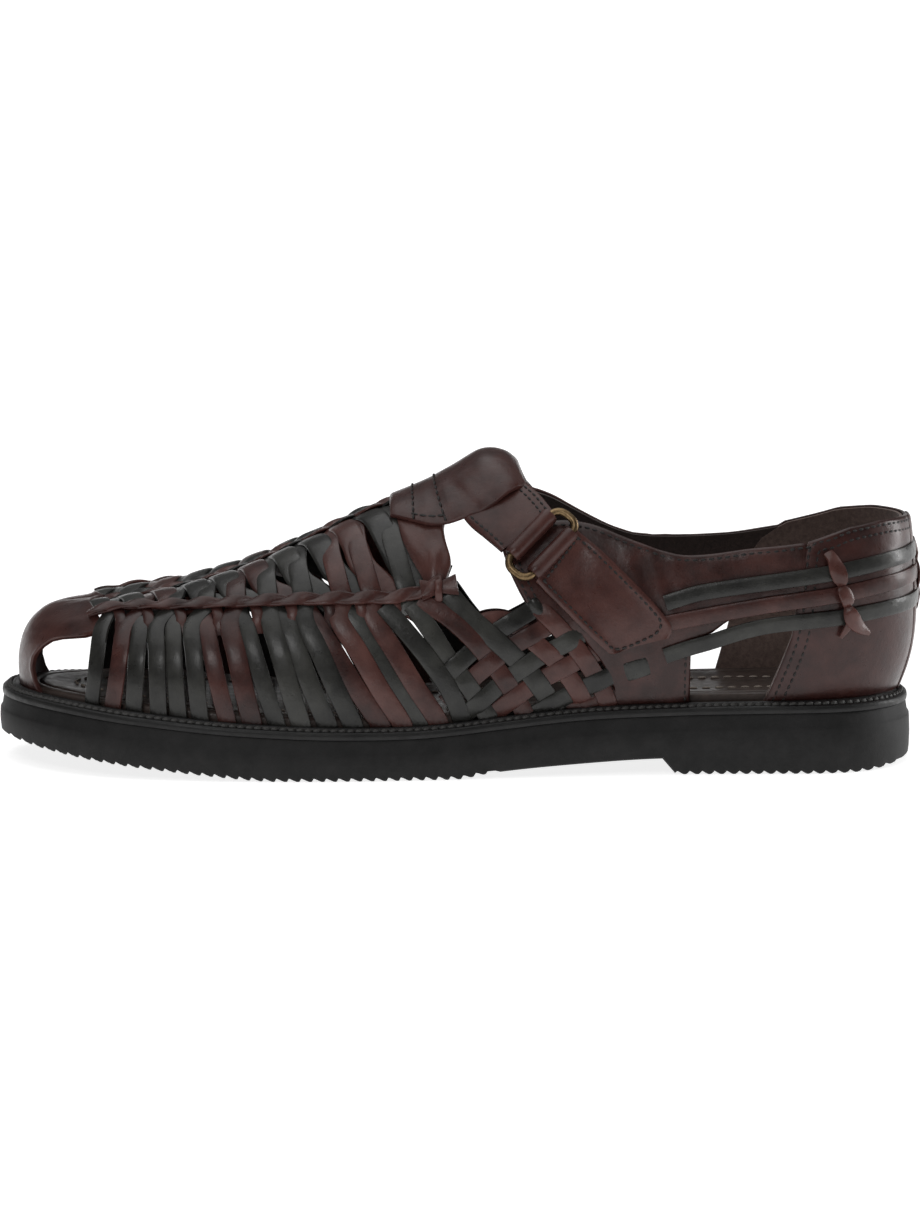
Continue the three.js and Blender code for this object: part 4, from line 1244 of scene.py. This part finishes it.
# ---------------------------------------------------------------- saddle, instep strap, ring and flap
SADDLE_ROWS = {
    "u": [129, 134, 138, 141, 143.5, 146, 150, 155, 160, 165, 168, 170],
    "off": [2.2, 2.4, 2.6, 2.8, 3.0, 3.5, 4.1, 4.9, 5.9, 5.0, 3.4, 2.0],
    "half": [16, 20, 23, 25.2, 27, 27.4, 27, 25, 22.2, 19.2, 17.4, 16.2],
}
SADDLE_THICK = 1.6
# The saddle's rear swings back down the sides, along the strap: how fast, from which u, and over what length
# it sets in.
SADDLE_SWING = 0.012
SWING_FROM, SWING_OVER = 141, 8


def saddle_place(u, share, lift):
    """A point of the saddle: share is -1 on its lateral edge and 1 on its medial edge."""
    q = share * read(SADDLE_ROWS, "half", u)
    swing = SADDLE_SWING * q**2 * np.clip((u - SWING_FROM) / SWING_OVER, 0, 1)
    return at_laid(u + swing, q, read(SADDLE_ROWS, "off", u) + lift)


def sheet_of(build, outer, inner):
    """A closed sheet between two grids of points."""
    rows, columns = outer.shape[:2]
    count = rows * columns
    faces = grid_faces(rows, columns, flip=True)
    faces += [tuple(i + count for i in face[::-1]) for face in faces]
    edge = list(range(columns))
    edge += [r * columns + columns - 1 for r in range(1, rows)]
    edge += [(rows - 1) * columns + c for c in range(columns - 2, -1, -1)]
    edge += [r * columns for r in range(rows - 2, 0, -1)]
    faces += [(a, b, b + count, a + count) for a, b in zip(edge, edge[1:] + edge[:1])]
    build.add(np.concatenate([outer.reshape(-1, 3), inner.reshape(-1, 3)]), faces)


def saddle():
    """The leather over the instep with its loop for the strap, its seams and its wings."""
    build, threads = Build(), Build()
    front, rear = SADDLE_ROWS["u"][0], SADDLE_ROWS["u"][-1]
    u = np.concatenate([[front], np.linspace(front + 0.4, rear - 0.4, 44), [rear]])[:, None]
    share = np.concatenate([[-1], np.linspace(-0.985, 0.985, 27), [1]])[None]
    u, share = np.broadcast_arrays(u, share)
    edge = np.minimum(np.clip((u - front) / 0.8, 0, 1), np.clip((rear - u) / 0.8, 0, 1))
    edge = np.minimum(edge, np.clip((1 - np.abs(share)) / 0.03, 0, 1))
    creases = 0.18 * np.sin(1.1 * u + 3 * share) * np.exp(-((u - 147) ** 2) / 30) * np.abs(share)
    outer = saddle_place(u, share, SADDLE_THICK * (0.45 + 0.55 * edge**0.5) + creases)[0]
    inner = saddle_place(u, share, 0.0)[0]
    sheet_of(build, outer, inner)
    build.make("saddle_leather", PANEL, "strap_leather", ["saddle"])
    for at in (136.8, 144.0):
        line_share = np.linspace(-0.96, 0.96, 40)
        points, normals = saddle_place(np.full(40, at), line_share, SADDLE_THICK + 0.15)
        stitches(threads, points, normals, 3.4, 2.5, 0.4, 0.4)
    for side in (LATERAL, MEDIAL):
        line_u = np.linspace(137.2, 143.6, 8)
        points, normals = saddle_place(line_u, np.full(8, side * 0.9), SADDLE_THICK + 0.1)
        stitches(threads, points, normals, 3.4, 2.5, 0.4, 0.4)
    threads.make("saddle_stitching", DARK_THREAD, "strap_leather")
    saddle_wings()


# A wing's outline: distance u and height z.
WING = [
    (129.4, 79.4), (137, 81), (146.2, 81.5), (145.6, 77.7), (146.3, 74.4), (147.9, 69.6), (148.1, 67),
    (147.2, 64.5), (145.7, 60.5), (137.5, 60.5), (135.4, 64.5), (133.4, 68.6), (131, 72.2), (128.6, 75.4),
]
MEDIAL_WING = -2.5  # the medial wing lies this much further forward
WING_EDGE = (130.0, 75.4, 0.7)  # its front edge: distance u, height z, and how fast it runs back going down


def saddle_wings():
    """The pinched leather from the saddle down to the end of the side plait."""
    build = Build()
    for side in (LATERAL, MEDIAL):
        shift = MEDIAL_WING if side == MEDIAL else 0
        place = lambda u, z, off, side=side, shift=shift: at_height(u + shift, z, side, off)
        panel(build, WING, place, -0.6, 0.7, gap=1.2, relief=wing_relief)
    build.make("saddle_wings", PANEL, "strap_leather", ["saddle"])


def wing_relief(u, z):
    """A fold down the wing's rear, a pinch across it, and a front edge that thins out."""
    fold = 0.9 * np.exp(-(((u - 143.5) - 0.25 * (z - 70)) ** 2) / 2.6) * np.clip((76 - z) / 6, 0, 1)
    pinch = 0.6 * np.exp(-((z - 73.8) ** 2) / 2.2) * np.clip((u - 138) / 6, 0, 1)
    edge_u, edge_z, slant = WING_EDGE
    above = np.clip((u - edge_u - slant * (edge_z - z)) / 5, 0, 1)
    return fold - pinch + 1.3 * above**2 * (3 - 2 * above) + 0.12 * np.sin(1.0 * u + 0.6 * z)


RING_AT = (177.3, -38.2, 5.5)  # the ring's middle: distance u, girth q and offset
RING_WIRE = 1.3  # the wire's radius
RING_LONG, RING_SHORT, RING_CORNER = 25.8, 9.4, 3.8
STRAP_SLOPE = 0.86  # how far down the strap runs for each millimetre back, at the ring
STRAP_HEADING = np.array([1, -STRAP_SLOPE]) / math.hypot(1, STRAP_SLOPE)
FRAME_STEP = 4  # the distance over which the ring's directions are read from the last
BAR_STEP = RING_SHORT / 2 + 1.6  # from the ring's middle to where the strap and the flap leave it
ROLL_HALF = 9.5  # half the length of a leather roll along its bar
ROLL_THICK = 1.3


def ring_frame():
    """The ring's middle, its direction along the strap, along its bars and out of the shoe."""
    u, q, off = RING_AT
    spot = lambda du, dq: at_laid(u + FRAME_STEP * du, q + FRAME_STEP * dq, off)[0]
    unit = lambda v: v / np.linalg.norm(v)
    along = unit(spot(*STRAP_HEADING) - spot(*-STRAP_HEADING))
    bars = unit(spot(-STRAP_HEADING[1], STRAP_HEADING[0]) - spot(STRAP_HEADING[1], -STRAP_HEADING[0]))
    out = unit(np.cross(along, bars))
    out = -out if out[1] > 0 else out
    return at_laid(u, q, off)[0], along, unit(np.cross(out, along)), out


def ring():
    """The flat ring: a loop of round wire with four rounded corners."""
    at, along, bars, out = ring_frame()
    loop = []
    for sx, sy, start in ((1, 1, 0), (-1, 1, 0.5), (-1, -1, 1), (1, -1, 1.5)):
        for angle in np.linspace(start, start + 0.5, 7) * math.pi:
            a = sx * (RING_SHORT / 2 - RING_CORNER) + RING_CORNER * math.cos(angle)
            b = sy * (RING_LONG / 2 - RING_CORNER) + RING_CORNER * math.sin(angle)
            loop.append(at + along * a + bars * b)
    loop = even(np.array(loop + loop[:1]), gap=0.7)[0][:-1]
    ahead = np.roll(loop, -1, axis=0) - np.roll(loop, 1, axis=0)
    ahead /= np.linalg.norm(ahead, axis=1, keepdims=True)
    across = np.cross(ahead, out)
    around = np.linspace(0, 2 * math.pi, 14, endpoint=False)
    grid = loop[:, None] + RING_WIRE * (
        across[:, None] * np.cos(around)[None, :, None] + out * np.sin(around)[None, :, None]
    )
    build = Build()
    build.add(grid, grid_faces(len(loop), len(around), True, True, flip=True))
    build.make("brass_ring", BRASS, "ring_brass", ["ring"])


def leaving(way):
    """Distance u and girth q where a strap leaves the ring: way is -1 for the strap and 1 for the flap."""
    return RING_AT[0] + way * STRAP_HEADING[0] * BAR_STEP, RING_AT[1] + way * STRAP_HEADING[1] * BAR_STEP


LEAN_OVER = 16.0  # how far before a slanting end its slant begins
RIBBON_EDGE = 0.5  # how far a ribbon's edges are rounded down


def ribbon(build, stations, count, relief=None, corner=0.0, lean=0.0):
    """A wide strap through stations of distance u, girth q, half width, lower and upper offset. Its last end
    has rounded corners and slants: one edge is longer by lean and the other shorter. Returns a function that
    gives points on its face from a share of its length and a share of its half width."""
    u, q, half, low, high = path(stations, count)
    along = np.stack([np.gradient(u), np.gradient(q)], 1)
    along /= np.linalg.norm(along, axis=1, keepdims=True)
    shares = np.concatenate([[-1, -0.985, -0.95, -0.89], np.linspace(-0.8, 0.8, 11), [0.89, 0.95, 0.985, 1]])
    steps = np.hypot(np.diff(u), np.diff(q))
    left = np.concatenate([np.cumsum(steps[::-1])[::-1], [0.0]])
    into = np.maximum(corner - left, 0)
    half = half - corner + np.sqrt(corner**2 - into**2)
    reach = lean * np.clip(1 - left / LEAN_OVER, 0, 1) ** 1.5
    edge_u = along[:, 0] * reach - along[:, 1] * half
    edge_q = along[:, 1] * reach + along[:, 0] * half
    gu = u[:, None] + edge_u[:, None] * shares
    gq = q[:, None] + edge_q[:, None] * shares
    drop = RIBBON_EDGE * np.clip((np.abs(shares) - 0.86) / 0.14, 0, 1) ** 2
    top = high[:, None] - drop
    if relief:
        top = top + relief(np.linspace(0, 1, len(u))[:, None], shares[None])
    outer = at_laid(gu, gq, top)[0]
    inner = at_laid(gu, gq, low[:, None] + 0 * gu)[0]
    sheet_of(build, outer, inner)

    def on_face(along_share, across_share, lift=0.0):
        place = np.asarray(along_share, float) * (len(u) - 1)
        pick = lambda v: np.interp(place, np.arange(len(u)), v)
        cu = pick(u) + pick(edge_u) * across_share
        cq = pick(q) + pick(edge_q) * across_share
        return at_laid(cu, cq, pick(high) + lift)

    return on_face


def roll_round(build, bar):
    """Leather rolled round one bar of the ring: bar is -1 for the strap's and 1 for the flap's."""
    at, along, bars, out = ring_frame()
    middle = at + along * (bar * RING_SHORT / 2)
    outer_radius = RING_WIRE + 0.3 + ROLL_THICK
    angles = np.linspace(0, 2 * math.pi, 25)[:-1]
    places = np.linspace(-1, 1, 19) * ROLL_HALF
    rows = []
    for radius, ends in ((outer_radius, 0.35), (RING_WIRE + 0.25, 0.0)):
        soft = radius - ends * (np.abs(places) > ROLL_HALF - 0.3)
        rows.append(middle + bars * places[:, None, None] + soft[:, None, None] * (
            along * np.cos(angles)[None, :, None] + out * np.sin(angles)[None, :, None]
        ))
    columns = len(angles)
    count = rows[0].shape[0] * columns
    faces = grid_faces(len(places), columns, closed_columns=True, flip=True)
    faces += [tuple(i + count for i in face[::-1]) for face in faces]
    last = (len(places) - 1) * columns
    for c in range(columns):
        d = (c + 1) % columns
        faces += [(c, d, d + count, c + count), (last + d, last + c, last + c + count, last + d + count)]
    build.add(np.concatenate([row.reshape(-1, 3) for row in rows]), faces)


def instep_strap():
    """The strap from the ring over the instep to the medial quarter, rolled round the ring's front bar."""
    build, threads = Build(), Build()
    stations = [
        (*leaving(-1), 10.9, 3.8, 6.0), (168, -28.5, 11.6, 3.0, 5.2), (163, -21.8, 11.4, 2.6, 4.5),
        (158.2, -10.8, 9.8, 2.5, 4.3), (156.8, 0, 9.4, 2.5, 4.2), (158.6, 10.5, 9.3, 2.5, 4.2),
        (164, 20, 9.3, 2.5, 4.3), (171, 30, 9.3, 2.4, 4.2), (181, 42, 9.3, 2.2, 4.0),
        (193, 54, 9.3, 2.0, 3.6),
    ]
    face = ribbon(build, stations, 90)
    roll_round(build, -1)
    share = np.linspace(0.03, 0.97, 150)
    for across in (-0.86, -0.68, 0.86):
        points, normals = face(share, np.full(share.shape, across), 0.02)
        stitches(threads, points, normals, 2.3, 1.6)
    build.make("instep_strap_leather", PANEL, "strap_leather", ["instep_strap"])
    threads.make("instep_strap_stitching", DARK_THREAD, "strap_leather")


def flap_relief(along, across):
    """A slight dish between the raised edges, and a bow along the flap."""
    lip = 0.55 * np.clip((np.abs(across) - 0.72) / 0.16, 0, 1) ** 2
    bow = 0.35 * np.sin(math.pi * along) - 0.4 * np.exp(-((along - 0.12) ** 2) / 0.01)
    ripple = 0.1 * np.sin(17 * along + 4 * across)
    return lip + bow + ripple


def flap():
    """The closing strap: a ribbon that hangs from the ring's rear bar, stitched round its edge."""
    build, threads = Build(), Build()
    stations = [
        (*leaving(1), 10.1, 4.2, 6.2), (188.6, -48.4, 10.3, 2.7, 4.8), (197.2, -57.4, 10.3, 2.6, 4.6),
        (204.6, -65.2, 10.2, 2.6, 4.5), (209.9, -71.6, 9.9, 2.6, 4.4),
    ]
    face = ribbon(build, stations, 84, relief=flap_relief, corner=3.2, lean=4.2)
    roll_round(build, 1)
    share = np.linspace(0.06, 0.88, 90)
    turn = np.linspace(-1, 1, 40)
    line_share = np.concatenate([share, 0.88 + 0.075 * (1 - np.abs(turn) ** 4), share[::-1]])
    line_across = np.concatenate([np.full(90, -0.82), 0.82 * turn, np.full(90, 0.82)])
    points, normals = face(line_share, line_across, 0.45)
    stitches(threads, points, normals, 2.3, 1.6)
    cross = np.linspace(-0.8, 0.8, 30)
    points, normals = face(np.full(30, 0.05), cross, 0.3)
    stitches(threads, points, normals, 2.0, 1.4)
    build.make("flap_leather", PANEL, "strap_leather", ["flap"])
    threads.make("flap_stitching", DARK_THREAD, "strap_leather")


# ---------------------------------------------------------------- the shoe
outsole()
welt()
insole()
toe_band()
vamp_strips()
side_plaits()
ridge_plait()
basket()
quarters()
counter()
side_straps()
saddle()
instep_strap()
ring()
flap()


# ---------------------------------------------------------------- floor, light and camera
SWEEP_REACH = 9.0
SWEEP_BACK, SWEEP_BEND = 3.0, 0.6  # where the floor begins to curve up, and the curve's radius


def floor_and_wall():
    """A pale, softly glowing sweep: a floor that curves up into a low wall well behind the shoe."""
    profile = [(-SWEEP_REACH, 0.0), (SWEEP_BACK, 0.0)]
    for angle in np.linspace(0.1, math.pi / 2, 14):
        profile.append((SWEEP_BACK + SWEEP_BEND * math.sin(angle), SWEEP_BEND * (1 - math.cos(angle))))
    verts = [(x, y, z) for x in (-SWEEP_REACH, SWEEP_REACH) for y, z in profile]
    count = len(profile)
    faces = [(k, count + k, count + k + 1, k + 1) for k in range(count - 1)]
    mesh = bpy.data.meshes.new("sweep")
    mesh.from_pydata(verts, [], faces)
    mesh.shade_smooth()
    material, _, _, surface = shader("sweep_paper")
    surface.inputs["Base Color"].default_value = (0.6, 0.6, 0.6, 1)
    surface.inputs["Roughness"].default_value = 0.9
    surface.inputs["Specular IOR Level"].default_value = 0.1
    surface.inputs["Emission Color"].default_value = (1, 1, 1, 1)
    surface.inputs["Emission Strength"].default_value = 0.82
    mesh.materials.append(material)
    sweep = bpy.data.objects.new("sweep", mesh)
    bpy.context.scene.collection.objects.link(sweep)


def soft_light(name, place, aim, size, watts):
    """A rectangular white light at a place, turned to aim."""
    data = bpy.data.lights.new(name, "AREA")
    data.shape = "RECTANGLE"
    data.size, data.size_y = size
    data.energy = watts
    made = bpy.data.objects.new(name, data)
    made.location = place
    made.rotation_euler = (Vector(aim) - Vector(place)).to_track_quat("-Z", "Y").to_euler()
    bpy.context.scene.collection.objects.link(made)


def camera():
    """A long lens from the shoe's outer side, a little above it."""
    data = bpy.data.cameras.new("camera")
    data.lens = 180
    made = bpy.data.objects.new("camera", data)
    elevation = math.radians(8)
    distance = 2.0046
    aim = Vector((0.0015, 0, 0.0473))
    made.location = aim + Vector((0, -math.cos(elevation), math.sin(elevation))) * distance
    made.rotation_euler = (aim - made.location).to_track_quat("-Z", "Y").to_euler()
    bpy.context.scene.collection.objects.link(made)
    bpy.context.scene.camera = made


bpy.context.scene.view_settings.view_transform = "Standard"
floor_and_wall()
soft_light("top_light", (-0.2, 0.1, 1.6), (0, 0, 0.05), (2.0, 1.6), 13)
soft_light("front_light", (-0.5, -1.7, 1.3), (0, 0, 0.05), (0.6, 0.45), 6)
soft_light("heel_light", (1.2, 0.35, 0.35), (0.12, 0, 0.05), (0.3, 0.9), 7)
soft_light("back_light", (0.0, 1.4, 1.7), (0, 3.0, 0), (2.6, 0.8), 14)
world = bpy.data.worlds.new("world")
world.use_nodes = True
world.node_tree.nodes["Background"].inputs["Color"].default_value = (1, 1, 1, 1)
world.node_tree.nodes["Background"].inputs["Strength"].default_value = 0.12
bpy.context.scene.world = world
camera()
